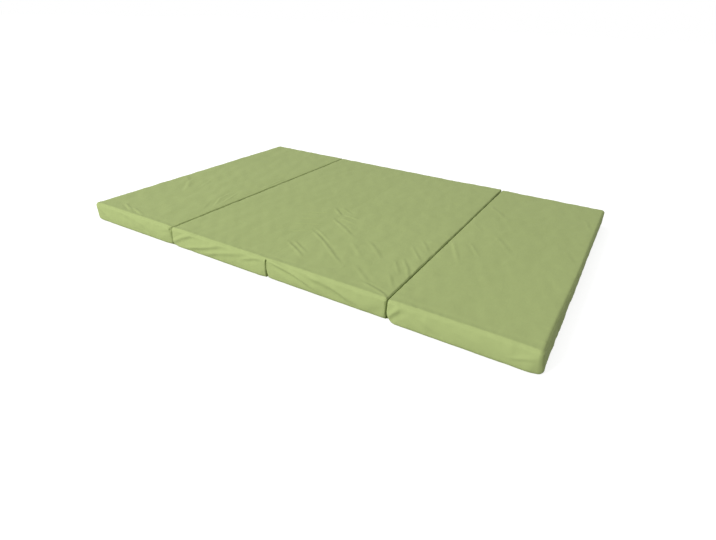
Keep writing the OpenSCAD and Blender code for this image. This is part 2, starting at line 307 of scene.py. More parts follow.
FINE_Y = share_list(0.0034, 0.0082)
PLAIN_Y = share_list(0.010, 0.010)


def lines_y(low, shares):
    roll = LOW_ROLL if low else TOP_ROLL
    span = HALF_W - roll
    front = rolled_lines(-HALF_W, -1, roll)
    back = rolled_lines(HALF_W, 1, roll)
    return np.array(front + flat_lines(-span + 2 * span * shares) + back)


def side_lines(section, side, low, middle, lines):
    """The lines between the zip panel's end and a side of a section, going outwards."""
    if is_joined(section, side, low):
        return flat_lines(middle + side * np.linspace(ZIP_END, FOLD, lines + len(RINGS)))
    roll = roll_of(section, side, low)
    flat = flat_lines(middle + side * np.linspace(ZIP_END, HALF_L - roll, lines)[:-1])
    rolled = rolled_lines(middle + side * HALF_L, side, roll)
    return flat + (rolled if side > 0 else rolled[::-1])


def lines_x(sections, low, count=ZIP_LINES, lines=SIDE_LINES):
    found = []
    for s in sections:
        middle = MIDDLE[s]
        left = side_lines(s, -1, low, middle, lines)[::-1]
        right = side_lines(s, 1, low, middle, lines)
        inner = flat_lines(middle + np.linspace(-ZIP_END, ZIP_END, count + 1)[1:-1])
        found += (left[1:] if found else left) + inner + right
    return np.array(found)


print("lines of the long top sheet:", len(lines_x((2, 3), False)), "by", len(lines_y(False, FINE_Y)))

# %% [markdown]
# The place of a crossing of two lines follows from their rings. Where one line rolls, the point
# goes round the edge. Where both roll, at a corner, the larger ring wins and the other one says how
# far along the corner the point is. The same function serves the walls, which are lines at ring 1.

# %% Where two lines cross


def crossing(a, b, turn):
    """Place in plan and drop of the crossings of lines a (across X) and b (across Y)."""
    a_place, a_ring, a_wall, a_side, a_roll = (a[..., k] for k in range(5))
    b_place, b_ring, b_wall, b_side, b_roll = (b[..., k] for k in range(5))
    most = np.maximum(a_ring, b_ring)
    along = np.minimum(a_ring, b_ring) / np.maximum(most, 1e-9)
    leads = a_ring >= b_ring
    main = np.where(leads, a_roll, b_roll)
    other = np.where(leads, b_roll, a_roll)
    roll = main + np.where(along > 0, (other - main) * along / 2, 0)
    angle = np.radians(turn * most)
    drop = roll * (1 - np.cos(angle))
    x_edge = a_wall - a_side * a_roll * (1 - np.sin(angle))
    y_edge = b_wall - b_side * b_roll * (1 - np.sin(angle))
    x_along = a_place + np.where(a_ring > 0, along * (x_edge - a_place), 0)
    y_along = b_place + np.where(b_ring > 0, along * (y_edge - b_place), 0)
    x = np.where(most > 0, np.where(leads & (a_ring > 0), x_edge, x_along), a_place)
    y = np.where(most > 0, np.where(leads, y_along, y_edge), b_place)
    return x, y, drop


def cross_lines(xs, ys, turn):
    """The crossings of all lines xs with all lines ys, as a grid."""
    a = np.broadcast_to(xs[None, :, :], (len(ys), len(xs), 5))
    b = np.broadcast_to(ys[:, None, :], (len(ys), len(xs), 5))
    return crossing(a, b, turn)


place = cross_lines(lines_x((1,), False)[:1], lines_y(False, FINE_Y)[:1], SEAM_TURN)
print("front left corner of the top seam, x, y and drop:", [round(float(k[0, 0]), 4) for k in place])

# %% [markdown]
# Foam in a cover is never a true box, and its corners are round. A sheet that runs on to the next
# section isn't rounded there, but keeps its place along the fold. At three front corners the
# photograph also shows the cloth tucked in or pressed, so a small region round each is shifted.

# %% Round and tuck the corners


def smooth_step(t):
    t = np.clip(t, 0, 1)
    return t * t * (3 - 2 * t)


HELD_FROM, HELD_EASE = 0.004, 0.006  # where a sheet that runs on starts to keep its place


def round_corners(u, v, rise, section, sheet):
    """u and v are places from the section's middle, and rise is 0 at the floor and 1 at the top."""
    for side_u in (-1, 1):
        for side_v in (-1, 1):
            high_r, low_r = CORNER_RADII[(section, side_u, side_v)]
            radius = low_r + (high_r - low_r) * smooth_step(rise)
            p = u * side_u - (HALF_L - radius)
            q = v * side_v - (HALF_W - radius)
            inside = (p > 0) & (q > 0)
            length = np.sqrt(np.where(inside, p * p + q * q, 1.0))
            share = np.where(inside, np.maximum(p, q) / length, 1.0)
            held = 0.0
            if sheet != "wall" and is_joined(section, side_u, sheet == "low"):
                held = smooth_step((p - radius + HELD_FROM) / HELD_EASE)
            share_u = share + (1 - share) * held
            u = np.where(inside, side_u * (HALF_L - radius + p * share_u), u)
            v = np.where(inside, side_v * (HALF_W - radius + q * share), v)
    return u, v


# Section, the corner's x and z, the region's reach, and the shift
TUCKS = [
    (4, PITCH, 0.0, 0.030, (0.006, 0.003, 0.006)),
    (2, -PITCH, EDGE_H - 0.003, 0.019, (-0.0036, 0.0, 0.0)),
    (1, -PITCH - 0.002, EDGE_H - 0.008, 0.013, (-0.0045, 0.004, 0.0)),
]


def tuck_corners(points, section):
    for tucked, x, z, reach, shift in TUCKS:
        if section != tucked:
            continue
        away = points - np.array([x, -HALF_W, z])
        distance = np.sqrt(away[..., 0] ** 2 + 0.6 * away[..., 1] ** 2 + away[..., 2] ** 2)
        share = smooth_step(1 - distance / reach)
        if z == 0:
            share = share * smooth_step(1 + away[..., 0] / 0.004)
        points = points + share[..., None] * np.array(shift)
    return points


# %% [markdown]
# The cover pulls the walls in between the corners, the walls swell a little at half height, and the
# lying surface is higher in its middle. In the photograph the free ends stand out a little, section
# 4's end leans in at the front, the foot of the front stands forward, and the front's upper edge
# puffs up between the corners. One function gives every point of a section its settled place, so
# that panels, walls and foam all agree with each other.

# %% Settle a point of a section
DRAW_BACK, DRAW_FRONT, DRAW_END = 0.003, 0.001, 0.0012  # how far the walls are drawn in
SWELL = 0.0012  # how far they swell at half height
OUTER_SIDE = {1: -1, 4: 1}  # the side of a free end
END_OUT = {1: 0.004, 4: 0.005}  # how far the free ends stand out
END_FLARE, END_LEAN = 0.0025, 0.011  # section 4's end: out at the back, in at the front's top
FRONT_OUT = {1: 0.0, 2: 0.0, 3: 0.0, 4: 0.004}  # how far the whole front stands forward
FOOT = {1: 0.006, 2: 0.006, 3: 0.002, 4: 0.010}  # how far its foot stands forward as well
FOOT_EASE = 0.05  # how far from the fold the foot comes out in full
PUFF = {1: 0.0022, 2: 0.0018, 3: 0.0024, 4: 0.0024}  # how far the upper edge puffs up
PUFF_REACH = 0.040  # how far in from the front it does
RIM, RIM_HOLLOW = 0.0012, 0.0009  # the rim of the front seam, and the hollow behind it


def on_joined_side(u, section, low):
    """1 on the half of a section that is joined to the next one, else 0."""
    found = np.zeros_like(u)
    for side in (-1, 1):
        if is_joined(section, side, low):
            found = np.where(u * side > 0, 1.0, found)
    return found


def bump(place, middle, width):
    return np.exp(-(((place - middle) / width) ** 2))


def settle(points, section, sheet):
    """Settled places of points given as on a sharp box. sheet is low, high or wall."""
    u = points[..., 0] - MIDDLE[section]
    rise = np.clip(points[..., 2] / EDGE_H, 0, 1)
    a = np.minimum(np.abs(u) / HALF_L, 1)
    b = np.minimum(np.abs(points[..., 1]) / HALF_W, 1)
    u, v = round_corners(u, points[..., 1], rise, section, sheet)

    # The walls are drawn in and swell
    outer_side = OUTER_SIDE.get(section, 0)
    draw = np.where(v > 0, DRAW_BACK, DRAW_FRONT) * (1 - a**10) * b**6
    draw_end = DRAW_END * (1 - b**10) * a**6 * (u * outer_side > 0)
    swell = SWELL * np.sin(np.pi * rise)
    is_back = (v > 0) & (b > 0.98)
    v = v - np.sign(v) * draw + np.sign(v) * np.where(is_back, 0, swell) * b**40
    free = 1.0 if sheet == "wall" else 1 - on_joined_side(u, section, sheet == "low")
    u = u - np.sign(u) * draw_end + np.sign(u) * 0.6 * swell * a**40 * free

    # The free ends and the foot of the front stand out
    flare = 0.0
    if section == 4:
        flare = END_FLARE * smooth_step(v / HALF_W) - END_LEAN * rise * smooth_step(-v / HALF_W)
    u = u + outer_side * (END_OUT.get(section, 0) + flare) * np.clip(u * outer_side / HALF_L, 0, 1)
    foot = FOOT[section] * (1 - rise) * smooth_step((HALF_L + 0.010 - np.abs(u)) / FOOT_EASE)
    v = v - (foot + FRONT_OUT[section]) * np.clip(-v / HALF_W, 0, 1)

    # The lying surface has its crown, its puffed front edge and the rim of its front seam
    back = HALF_W + points[..., 1]
    fade = 1 - (1 - on_joined_side(u, section, False)) * a**10
    lift = CROWN * (1 - a**4) * (1 - b**4) + PUFF[section] * bump(back, 0.0, PUFF_REACH) * fade
    z = points[..., 2] + lift * smooth_step((rise - 0.5) * 2)
    if sheet == "high":
        strong = 0.7 + 0.3 * np.sin(points[..., 0] * 11 + 1)
        rim = RIM * bump(back, 0.008, 0.006) - RIM_HOLLOW * bump(back, 0.026, 0.011)
        z = z + strong * rim * smooth_step(1 - (EDGE_H - points[..., 2]) / 0.0015)
    return tuck_corners(np.stack([u + MIDDLE[section], v, z], -1), section)


for s in SECTIONS:
    spot = np.array([[MIDDLE[s], -HALF_W, 0.0]])
    move = 1000 * (settle(spot, s, "wall") - spot)[0]
    print(f"section {s}: the middle of its front's foot moves {move[1]:.1f} mm in Y")

# %% [markdown]
# In the photograph the far right corner of section 3 stands a few millimetres above section 4,
# because the foam there has been pressed less. Lifting that corner is a smooth change of height.

# %% Lift the far corner of section 3
CORNER_LIFT = 0.0028


def lift_corner(points):
    x, y, z = points[..., 0], points[..., 1], points[..., 2]
    near_x = smooth_step((x - 0.20) / 0.22) * (x < PITCH)
    near_y = smooth_step((y - 0.25) / 0.33)
    lifted = z + CORNER_LIFT * near_x * near_y * np.clip(z / EDGE_H, 0, 1)
    return np.stack([x, y, lifted], -1)


corner = np.array([[PITCH - 0.002, HALF_W, EDGE_H]])
print(f"the corner rises {1000 * (lift_corner(corner) - corner)[0, 2]:.1f} mm")

# %% [markdown]
# The folds of the cover are ridges with a shallow valley beside them, drawn along a short path on
# the bed. A path is given in metres, each with its width and height in millimetres and the side
# that its valley lies on. They fan out from where the cloth is pulled: from the middle fold over
# section 3, down the front from the upper corners, and from the seam between sections 3 and 4.
# The folds on the top are drawn a little narrower and steeper than they are listed.

# %% The folds of the cover
FOLDS_ON_TOP = [
    ([(-0.024, -0.457), (0.040, -0.492), (0.092, -0.528)], 6.5, 1.0, 1),
    ([(-0.007, -0.438), (0.080, -0.492)], 6.0, 0.7, 1),
    ([(-0.003, -0.329), (0.080, -0.382), (0.162, -0.448), (0.235, -0.503)], 7.5, 1.15, 1),
    ([(-0.012, -0.300), (0.060, -0.345), (0.120, -0.392)], 6.0, 0.6, -1),
    ([(-0.007, -0.183), (0.075, -0.236), (0.150, -0.292)], 7.5, 1.1, 1),
    ([(-0.064, -0.082), (0.002, -0.137)], 7.0, 1.2, 1),
    ([(-0.040, -0.060), (0.030, -0.098)], 6.0, 0.6, 1),
    ([(0.002, -0.121), (0.084, -0.130)], 6.0, 0.7, -1),
    ([(0.010, -0.158), (0.095, -0.176)], 6.0, 0.5, -1),
    ([(-0.125, -0.254), (-0.050, -0.200)], 5.0, 0.9, -1),
    ([(-0.107, -0.306), (-0.004, -0.245)], 5.0, 0.9, -1),
    ([(-0.083, -0.375), (-0.015, -0.326)], 5.0, 0.8, -1),
    ([(-0.131, -0.176), (-0.050, -0.132)], 5.0, 0.9, -1),
    ([(-0.150, -0.215), (-0.078, -0.168)], 5.0, 0.7, -1),
    ([(0.216, -0.288), (0.270, -0.335), (0.323, -0.394)], 9.0, 0.7, 1),
    ([(0.275, -0.481), (0.367, -0.557)], 9.0, 0.6, 1),
    ([(0.170, -0.330), (0.262, -0.420)], 9.0, 0.5, -1),
    ([(0.382, -0.343), (0.425, -0.400), (0.462, -0.468)], 7.0, 0.8, 1),
    ([(0.366, -0.373), (0.422, -0.456)], 7.0, 0.7, 1),
    ([(0.366, -0.235), (0.444, -0.337)], 7.0, 0.7, 1),
    ([(0.375, -0.165), (0.435, -0.248)], 7.0, 0.6, 1),
    ([(0.395, -0.470), (0.440, -0.540)], 7.0, 0.6, 1),
    ([(0.475, 0.345), (0.530, 0.290), (0.591, 0.220)], 9.0, 0.7, 1),
    ([(0.474, -0.108), (0.510, -0.180), (0.555, -0.270)], 8.5, 0.8, -1),
    ([(0.535, -0.085), (0.598, -0.184)], 8.0, 0.6, -1),
    ([(0.582, 0.050), (0.640, -0.030), (0.699, -0.114)], 10.0, 0.6, 1),
    ([(0.472, 0.120), (0.540, 0.040)], 9.0, 0.5, 1),
    ([(0.860, 0.420), (0.900, 0.300)], 9.0, 0.5, 1),
    ([(0.840, 0.060), (0.895, -0.060)], 10.0, 0.4, 1),
    ([(-0.903, -0.131), (-0.810, -0.205), (-0.721, -0.279)], 10.0, 0.45, 1),
    ([(-0.495, -0.352), (-0.537, -0.273), (-0.550, -0.190)], 5.5, 0.9, 1),
    ([(-0.492, -0.300), (-0.526, -0.177)], 5.5, 0.8, 1),
    ([(-0.480, -0.060), (-0.486, 0.050), (-0.478, 0.150)], 5.0, 0.9, 1),
    ([(-0.732, -0.300), (-0.808, -0.200), (-0.840, -0.140)], 9.0, 0.7, 1),
    ([(-0.712, -0.228), (-0.765, -0.085)], 8.0, 0.5, 1),
    ([(0.012, -0.580), (0.056, -0.582)], 4.0, -0.5, 0),
    ([(-0.510, -0.400), (-0.560, -0.300)], 7.0, 0.4, -1),
    ([(-0.805, -0.545), (-0.722, -0.580)], 6.0, 1.0, -1),
    ([(-0.736, -0.558), (-0.642, -0.588)], 6.0, 1.0, -1),
    ([(0.352, -0.562), (0.405, -0.576), (0.436, -0.588), (0.450, -0.600)], 6.0, 1.4, 1),
]
FOLDS_ON_FRONT = [
    ([(-0.456, 0.018), (-0.394, 0.052), (-0.352, 0.068), (-0.304, 0.073)], 7.0, 3.2, -1),
    ([(-0.402, 0.008), (-0.273, 0.044), (-0.226, 0.060), (-0.175, 0.072)], 7.0, 3.2, -1),
    ([(-0.301, 0.012), (-0.208, 0.039), (-0.136, 0.057), (-0.083, 0.068)], 7.0, 2.4, -1),
    ([(-0.109, 0.044), (-0.054, 0.062), (-0.010, 0.071)], 5.5, 2.4, -1),
    ([(-0.451, 0.032), (-0.418, 0.053), (-0.378, 0.070)], 5.0, -1.4, 0),
    ([(0.020, 0.072), (0.078, 0.062), (0.138, 0.049), (0.200, 0.026)], 6.0, 5.8, -1),
    ([(0.030, 0.060), (0.058, 0.048), (0.088, 0.038), (0.118, 0.026)], 5.0, -1.6, 0),
    ([(0.168, 0.063), (0.219, 0.061), (0.279, 0.048), (0.360, 0.024)], 8.5, 4.0, -1),
    ([(0.084, 0.071), (0.125, 0.065), (0.171, 0.054), (0.206, 0.044)], 5.5, -1.3, 0),
    ([(0.180, 0.072), (0.240, 0.069), (0.290, 0.066)], 5.0, -0.9, 0),
    ([(0.009, 0.064), (0.010, 0.026)], 2.6, -1.5, 0),
    ([(0.340, 0.066), (0.400, 0.058)], 9.0, 0.9, -1),
    ([(0.508, 0.065), (0.492, 0.048), (0.479, 0.033), (0.470, 0.012)], 7.0, 3.6, 1),
    ([(0.532, 0.058), (0.516, 0.045), (0.498, 0.031), (0.482, 0.014)], 9.0, -1.8, 0),
    ([(0.497, 0.072), (0.514, 0.065), (0.532, 0.056)], 5.0, -1.3, 0),
    ([(0.524, 0.068), (0.558, 0.057), (0.595, 0.040), (0.640, 0.020)], 9.0, 1.7, -1),
    ([(0.660, 0.050), (0.760, 0.034)], 10.0, 0.9, 1),
    ([(0.827, 0.029), (0.896, 0.050)], 5.0, 1.5, -1),
    ([(-0.900, 0.062), (-0.850, 0.040), (-0.800, 0.012)], 8.0, 1.4, 1),
    ([(-0.760, 0.068), (-0.670, 0.058), (-0.560, 0.034)], 8.5, 1.9, -1),
    ([(-0.690, 0.050), (-0.620, 0.026)], 8.0, 1.2, -1),
    ([(-0.520, 0.050), (-0.470, 0.062)], 5.0, 1.2, -1),
    ([(-0.4685, 0.074), (-0.4665, 0.068), (-0.464, 0.058)], 2.2, -2.0, 0),
]

TOP_Z = EDGE_H + CROWN * 0.7
FRONT_Y = -(HALF_W - 0.0005)
TOP_NARROWER, TOP_STEEPER = 0.85, 1.75
folds = []
for path, width, height, valley in FOLDS_ON_TOP:
    line = np.array([(x, y, TOP_Z) for x, y in path])
    folds.append((line, TOP_NARROWER * width / 1000, TOP_STEEPER * height / 1000, valley))
for path, width, height, valley in FOLDS_ON_FRONT:
    folds.append((np.array([(x, FRONT_Y, z) for x, z in path]), width / 1000, height / 1000, valley))
print("folds drawn on the cover:", len(folds))

# %% [markdown]
# A point of the cover is pushed out along its own normal by every fold that passes near it. The
# ridge fades towards both ends of its path, as a drag fold does when the pull spreads out.

# %% How far the folds push a point
VALLEY_DEPTH, VALLEY_AWAY, VALLEY_WIDTH = 0.5, 1.9, 1.3  # as shares of the ridge's height and width


def fold_push(points, normals):
    push = np.zeros(len(points))
    for path, width, height, valley in folds:
        low = path.min(0) - 5 * width
        high = path.max(0) + 5 * width
        near = np.flatnonzero(((points > low) & (points < high)).all(1))
        if len(near) == 0:
            continue
        here = points[near]
        normal = normals[near]
        pieces = np.linalg.norm(np.diff(path, axis=0), axis=1)
        run = np.concatenate([[0], np.cumsum(pieces)])
        best = np.full(len(near), 1e9)
        offset = np.zeros(len(near))
        place = np.zeros(len(near))
        for k, length in enumerate(pieces):
            direction = (path[k + 1] - path[k]) / length
            t = (here - path[k]) @ direction
            t = np.clip(t, -0.5 * length if k == 0 else 0, length * (1.5 if k == len(pieces) - 1 else 1))
            away = here - path[k] - t[:, None] * direction
            depth = (away * normal).sum(1)
            away = away - depth[:, None] * normal
            distance = np.linalg.norm(away, axis=1) + np.maximum(np.abs(depth) - 0.010, 0) * 2
            side = np.sign((away * np.cross(normal, direction)).sum(1))
            closer = distance < best
            best = np.where(closer, distance, best)
            offset = np.where(closer, distance * side, offset)
            place = np.where(closer, (run[k] + t) / run[-1], place)
        fade = smooth_step((place + 0.12) / 0.35) * smooth_step((1.12 - place) / 0.5)
        dip = VALLEY_DEPTH * bump(offset, valley * VALLEY_AWAY * width, VALLEY_WIDTH * width)
        push[near] += height * fade * (bump(offset, 0.0, width) - dip)
    return push


rises = fold_push(np.array([[0.080, -0.382, TOP_Z]]), np.array([[0.0, 0.0, 1.0]]))
print(f"on a fold of section 3 the cloth rises {1000 * rises[0]:.1f} mm")

# %% [markdown]
# Between the folds real cloth still isn't flat. A few long waves make the surface uneven, and
# along the seams, where the thread gathers the cloth, short puckers run in from the edge.
# Both are sums of sines drawn from a fixed seed, so every run gives the same cloth.

# %% Long waves and seam puckers
chance = np.random.default_rng(7)
WAVES = [
    (chance.uniform(0, math.tau), chance.uniform(0.045, 0.16), chance.uniform(0, math.tau))
    for _ in range(14)
]
PUCKERS = [(chance.uniform(0.016, 0.045), chance.uniform(0, math.tau)) for _ in range(9)]
WAVE_HEIGHT = 0.0006


def uneven(points):
    total = np.zeros(len(points))
    for heading, length, start in WAVES:
        along = points[:, 0] * math.cos(heading) + points[:, 1] * math.sin(heading) + points[:, 2] * 1.3
        total += length * np.sin(along * math.tau / length + start + 2 * np.sin(points[:, 1] * 7 + start))
    return total * WAVE_HEIGHT


def puckers(place, shift):
    total = np.zeros_like(place)
    for length, start in PUCKERS:
        total += np.sin((place + shift) * math.tau / length + start * (1 + shift))
    return total / 3.0


print("waves:", len(WAVES), "puckers:", len(PUCKERS))

# %% [markdown]
# The covers settle on their foam in a cloth simulation. Each section gets a coarse closed shell,
# cut a little too large for its foam, with shorter seams and with weak springs across it that hold
# it as foam does. Pressure swells it over twenty frames while its underside is held.

# %% Shells for the simulation
SHELL_LINES = (
    np.linspace(-HALF_L, HALF_L, 33), np.linspace(-HALF_W, HALF_W, 88), np.linspace(0, EDGE_H, 6)
)
SHELL_SIDES = [(2, 1), (2, -1), (1, 1), (1, -1), (0, 1), (0, -1)]  # axis and sign
START_BUMP = 0.004  # the unevenness that the shells start with


def quads_of(rows, cols, first=0):
    index = first + np.arange(rows * cols).reshape(rows, cols)
    return np.stack([index[:-1, :-1], index[:-1, 1:], index[1:, 1:], index[1:, :-1]], -1).reshape(-1, 4)


def shell_side(axis, sign):
    """The points of one side of the shell, as a grid over its two other axes."""
    first, second = [SHELL_LINES[k] for k in range(3) if k != axis]
    grid = np.zeros((len(first), len(second), 3))
    grid[..., [k for k in range(3) if k != axis]] = np.stack(np.meshgrid(first, second, indexing="ij"), -1)
    grid[..., axis] = SHELL_LINES[axis][-1 if sign > 0 else 0]
    return grid


def outward_mesh(name, points, faces):
    """A mesh whose faces all look outwards."""
    mesh = bpy.data.meshes.new(name)
    mesh.from_pydata(points, [], faces)
    shape = bmesh.new()
    shape.from_mesh(mesh)
    bmesh.ops.recalc_face_normals(shape, faces=shape.faces)
    shape.to_mesh(mesh)
    shape.free()
    return mesh


def shell_object(section):
    """A shell, its points at rest, and where each point of each side is among them."""
    grids = [shell_side(axis, sign) for axis, sign in SHELL_SIDES]
    every = np.concatenate([grid.reshape(-1, 3) for grid in grids])
    points, index = np.unique(np.round(every, 6), axis=0, return_inverse=True)
    index = index.ravel()
    faces, first, outward = [], 0, np.zeros_like(points)
    for grid, (axis, sign) in zip(grids, SHELL_SIDES):
        rows, cols, _ = grid.shape
        faces += index[quads_of(rows, cols, first)].tolist()
        outward[index[first:first + rows * cols], axis] = sign
        first += rows * cols
    draw = np.random.default_rng(40 + section)
    seed = np.zeros(len(points))
    for _ in range(24):
        heading = draw.normal(0.7 - 0.25 * section, 0.6)
        length = draw.uniform(0.035, 0.11)
        start = draw.uniform(0, math.tau)
        along = points[:, 0] * math.cos(heading) + points[:, 1] * math.sin(heading) + points[:, 2]
        seed += np.sin(along * math.tau / length + start) / 24
    mesh = outward_mesh(f"shell_{section}", (points + outward * seed[:, None] * START_BUMP).tolist(), faces)
    made = put_in_scene(mesh.name, mesh)
    low = points[:, 2] < 1e-5
    rim = low | (points[:, 2] > EDGE_H - 1e-5)
    edge = (np.abs(points[:, 0]) > HALF_L - 1e-5) | (np.abs(points[:, 1]) > HALF_W - 1e-5)
    made.vertex_groups.new(name="seams").add(np.flatnonzero(rim & edge).tolist(), 1.0, "REPLACE")
    made.vertex_groups.new(name="held").add(np.flatnonzero(low).tolist(), 1.0, "REPLACE")
    return made, points, index


print("points on the sides of a shell:", sum(shell_side(*side).size // 3 for side in SHELL_SIDES))

# %% [markdown]
# The settings say how the shell behaves: stiff along its threads, softer against bending, blown up
# by a low pressure, without gravity, and with springs across it in the place of the foam.

# %% Cloth settings


def add_cloth(made):
    cloth = made.modifiers.new("cloth", "CLOTH").settings
    cloth.quality = 6
    cloth.mass = 0.2
    cloth.tension_stiffness = cloth.compression_stiffness = 15.0
    cloth.shear_stiffness = cloth.bending_stiffness = 5.0
    cloth.use_pressure = True
    cloth.uniform_pressure_force = 4.0
    cloth.effector_weights.gravity = 0.0
    cloth.vertex_group_shrink, cloth.shrink_min, cloth.shrink_max = "seams", -0.015, 0.01
    cloth.vertex_group_mass = "held"
    cloth.use_internal_springs = True
    cloth.internal_spring_max_length = 0.09
    cloth.internal_spring_max_diversion = math.radians(15)
    cloth.internal_tension_stiffness, cloth.internal_compression_stiffness = 10.0, 5.0


# %% [markdown]
# From the result only the short hollows and swells are kept, because the long ones are already in
# the shape. How far a point may move is capped: most on the front and back walls, less on the free
# ends and the tops, and least where two sections face each other.

# %% Run the simulation
CAP = {"top": 0.0011, "front": 0.0026, "end": 0.0012, "fold": 0.0005}
FRAMES = 20
SHORT = 4  # coarse points on either side that a short swell is compared with


def spline_weights(place, count):
    """The four neighbours of each place on a line of count points, and their smooth weights."""
    t = np.clip(place, 0, 1) * (count - 1)
    k = np.minimum(t.astype(int), count - 2)
    f = t - k
    weights = [(1 - f) ** 3, 3 * f**3 - 6 * f**2 + 4, -3 * f**3 + 3 * f**2 + 3 * f + 1, f**3]
    return [np.clip(k + d, 0, count - 1) for d in (-1, 0, 1, 2)], [w / 6 for w in weights]


def smoothed(grid, reach):
    for axis in (0, 1):
        padded = np.pad(grid, [(reach, reach) if k == axis else (0, 0) for k in (0, 1)], "edge")
        grid = sum(np.roll(padded, -k, axis) for k in range(2 * reach + 1)) / (2 * reach + 1)
        grid = grid[:-2 * reach] if axis == 0 else grid[:, :-2 * reach]
    return grid


def run_shells():
    shells = {s: shell_object(s) for s in SECTIONS}
    for made, _, _ in shells.values():
        add_cloth(made)
    scene = bpy.context.scene
    scene.frame_start, scene.frame_end = 1, FRAMES
    for frame_number in range(1, FRAMES + 1):
        scene.frame_set(frame_number)
    graph = bpy.context.evaluated_depsgraph_get()
    moved = {}
    for s, (made, points, index) in shells.items():
        found = np.empty(len(points) * 3)
        made.evaluated_get(graph).data.vertices.foreach_get("co", found)
        shift = (found.reshape(-1, 3) - points)[index]
        first = 0
        for axis, sign in SHELL_SIDES:
            rows, cols = [len(SHELL_LINES[k]) for k in range(3) if k != axis]
            grid = sign * shift[first:first + rows * cols, axis].reshape(rows, cols)
            first += rows * cols
            at_fold = axis == 0 and (s, sign) in JOINED_LOW | JOINED_HIGH
            cap = CAP["fold" if at_fold else ("end", "front", "top")[axis]]
            short = grid - smoothed(grid, SHORT)
            moved[(s, axis, sign)] = cap * np.tanh(short / cap)
    for made, _, _ in shells.values():
        bpy.data.objects.remove(made)
    scene.frame_set(1)
    return moved


settled_sides = run_shells()
for s in SECTIONS if settled_sides else ():
    for side, grid in (("top", settled_sides[(s, 2, 1)]), ("front", settled_sides[(s, 1, -1)])):
        print(f"section {s}: the {side} moved {1000 * grid.min():.2f} to {1000 * grid.max():.2f} mm")

# %% [markdown]
# A fine point takes its move from the sides of the shell that it faces, in the shares that its
# normal gives, with smooth weights between the coarse points. The top keeps still near the middle
# fold, because the two sections beside it were simulated apart.

# %% How far the simulation pushes a point
END_ROOM = 0.006  # how far the free ends may stand out past the shell
FOLD_CALM = 0.035


def cloth_push(points, normals):
    push = np.zeros(len(points))
    for s, axis, sign in settled_sides:
        facing = np.maximum(normals[:, axis] * sign, 0) ** 2
        reach = FOLD + (END_ROOM if s in OUTER_SIDE else 0.0)
        own = np.flatnonzero((np.abs(points[:, 0] - MIDDLE[s]) <= reach) & (facing > 1e-4))
        if len(own) == 0:
            continue
        local = points[own] - np.array([MIDDLE[s], 0, 0])
        spots = []
        for k in range(3):
            if k != axis:
                line = SHELL_LINES[k]
                spots.append(spline_weights((local[:, k] - line[0]) / (line[-1] - line[0]), len(line)))
        for side in (-1, 1):
            if axis == 2 and is_joined(s, side, False):
                facing[own] *= smooth_step(np.abs(local[:, 0] - side * FOLD) / FOLD_CALM)
        grid = settled_sides[(s, axis, sign)]
        for rows, row_share in zip(*spots[0]):
            for cols, col_share in zip(*spots[1]):
                push[own] += facing[own] * row_share * col_share * grid[rows, cols]
    return push


print("simulated sides in use:", len(settled_sides))

# %% [markdown]
# The outer side of a panel is a grid of points. Its normals come from the differences between
# neighbours. The inner side lies one cloth thickness inside, on every second line, because nobody
# looks at it closely, and a rim joins the two, so each panel is a closed thin solid.

# %% Make a closed sheet from a grid


def grid_normals(grid):
    across = np.gradient(grid, axis=1, edge_order=2)
    up = np.gradient(grid, axis=0, edge_order=2)
    normal = np.cross(across, up)
    return normal / np.maximum(np.linalg.norm(normal, axis=-1, keepdims=True), 1e-12)


def kept(count):
    found = list(range(0, count, 2))
    return np.array(found if found[-1] == count - 1 else found + [count - 1])


def border(rows, cols):
    """Index pairs round the edge of a grid, in order."""
    index = np.arange(rows * cols).reshape(rows, cols)
    return np.concatenate([index[0, :], index[1:, -1], index[-1, -2::-1], index[-2:0:-1, 0]])


def sheet_mesh(outer, cloth, thickness=FABRIC):
    """Points, faces and cloth places of a closed thin sheet. The rows run anticlockwise outside."""
    rows, cols, _ = outer.shape
    normals = grid_normals(outer)
    rows_in, cols_in = kept(rows), kept(cols)
    inner = (outer - normals * thickness)[np.ix_(rows_in, cols_in)]
    cloth_in = cloth[np.ix_(rows_in, cols_in)]
    first = rows * cols
    faces = quads_of(rows, cols).tolist()
    faces += quads_of(len(rows_in), len(cols_in), first)[:, ::-1].tolist()
    inner_index = {}
    for r, row in enumerate(rows_in):
        for c, col in enumerate(cols_in):
            inner_index[row * cols + col] = first + r * len(cols_in) + c
    ring = border(rows, cols).tolist()
    anchor = inner_index[ring[0]]
    for k in range(len(ring)):
        a, b = ring[k], ring[(k + 1) % len(ring)]
        faces.append([b, a, anchor])
        if b in inner_index:
            faces.append([b, anchor, inner_index[b]])
            anchor = inner_index[b]
    points = np.concatenate([outer.reshape(-1, 3), inner.reshape(-1, 3)])
    places = np.concatenate([cloth.reshape(-1, 3), cloth_in.reshape(-1, 3)])
    return points, faces, places


sample = np.stack([*np.meshgrid(np.arange(4.0), np.arange(4.0)), np.zeros((4, 4))], -1)
print("faces of a closed sheet of 4 by 4 points:", len(sheet_mesh(sample, sample)[1]))

# %% [markdown]
# Points and faces then become an object. Its mesh keeps the cloth places as an attribute: where
# each point lies on the flat cloth. The weave of the material will follow it.

# %% Make an object from points and faces


def mesh_object(name, points, faces, cloth=None):
    mesh = bpy.data.meshes.new(name)
    mesh.from_pydata(points.tolist(), [], faces)
    if cloth is not None:
        place = mesh.attributes.new("cloth_place", "FLOAT_VECTOR", "POINT")
        place.data.foreach_set("vector", cloth.astype(np.float32).ravel())
    mesh.shade_smooth()
    mesh.set_sharp_from_angle(angle=math.radians(50))
    return put_in_scene(name, mesh)


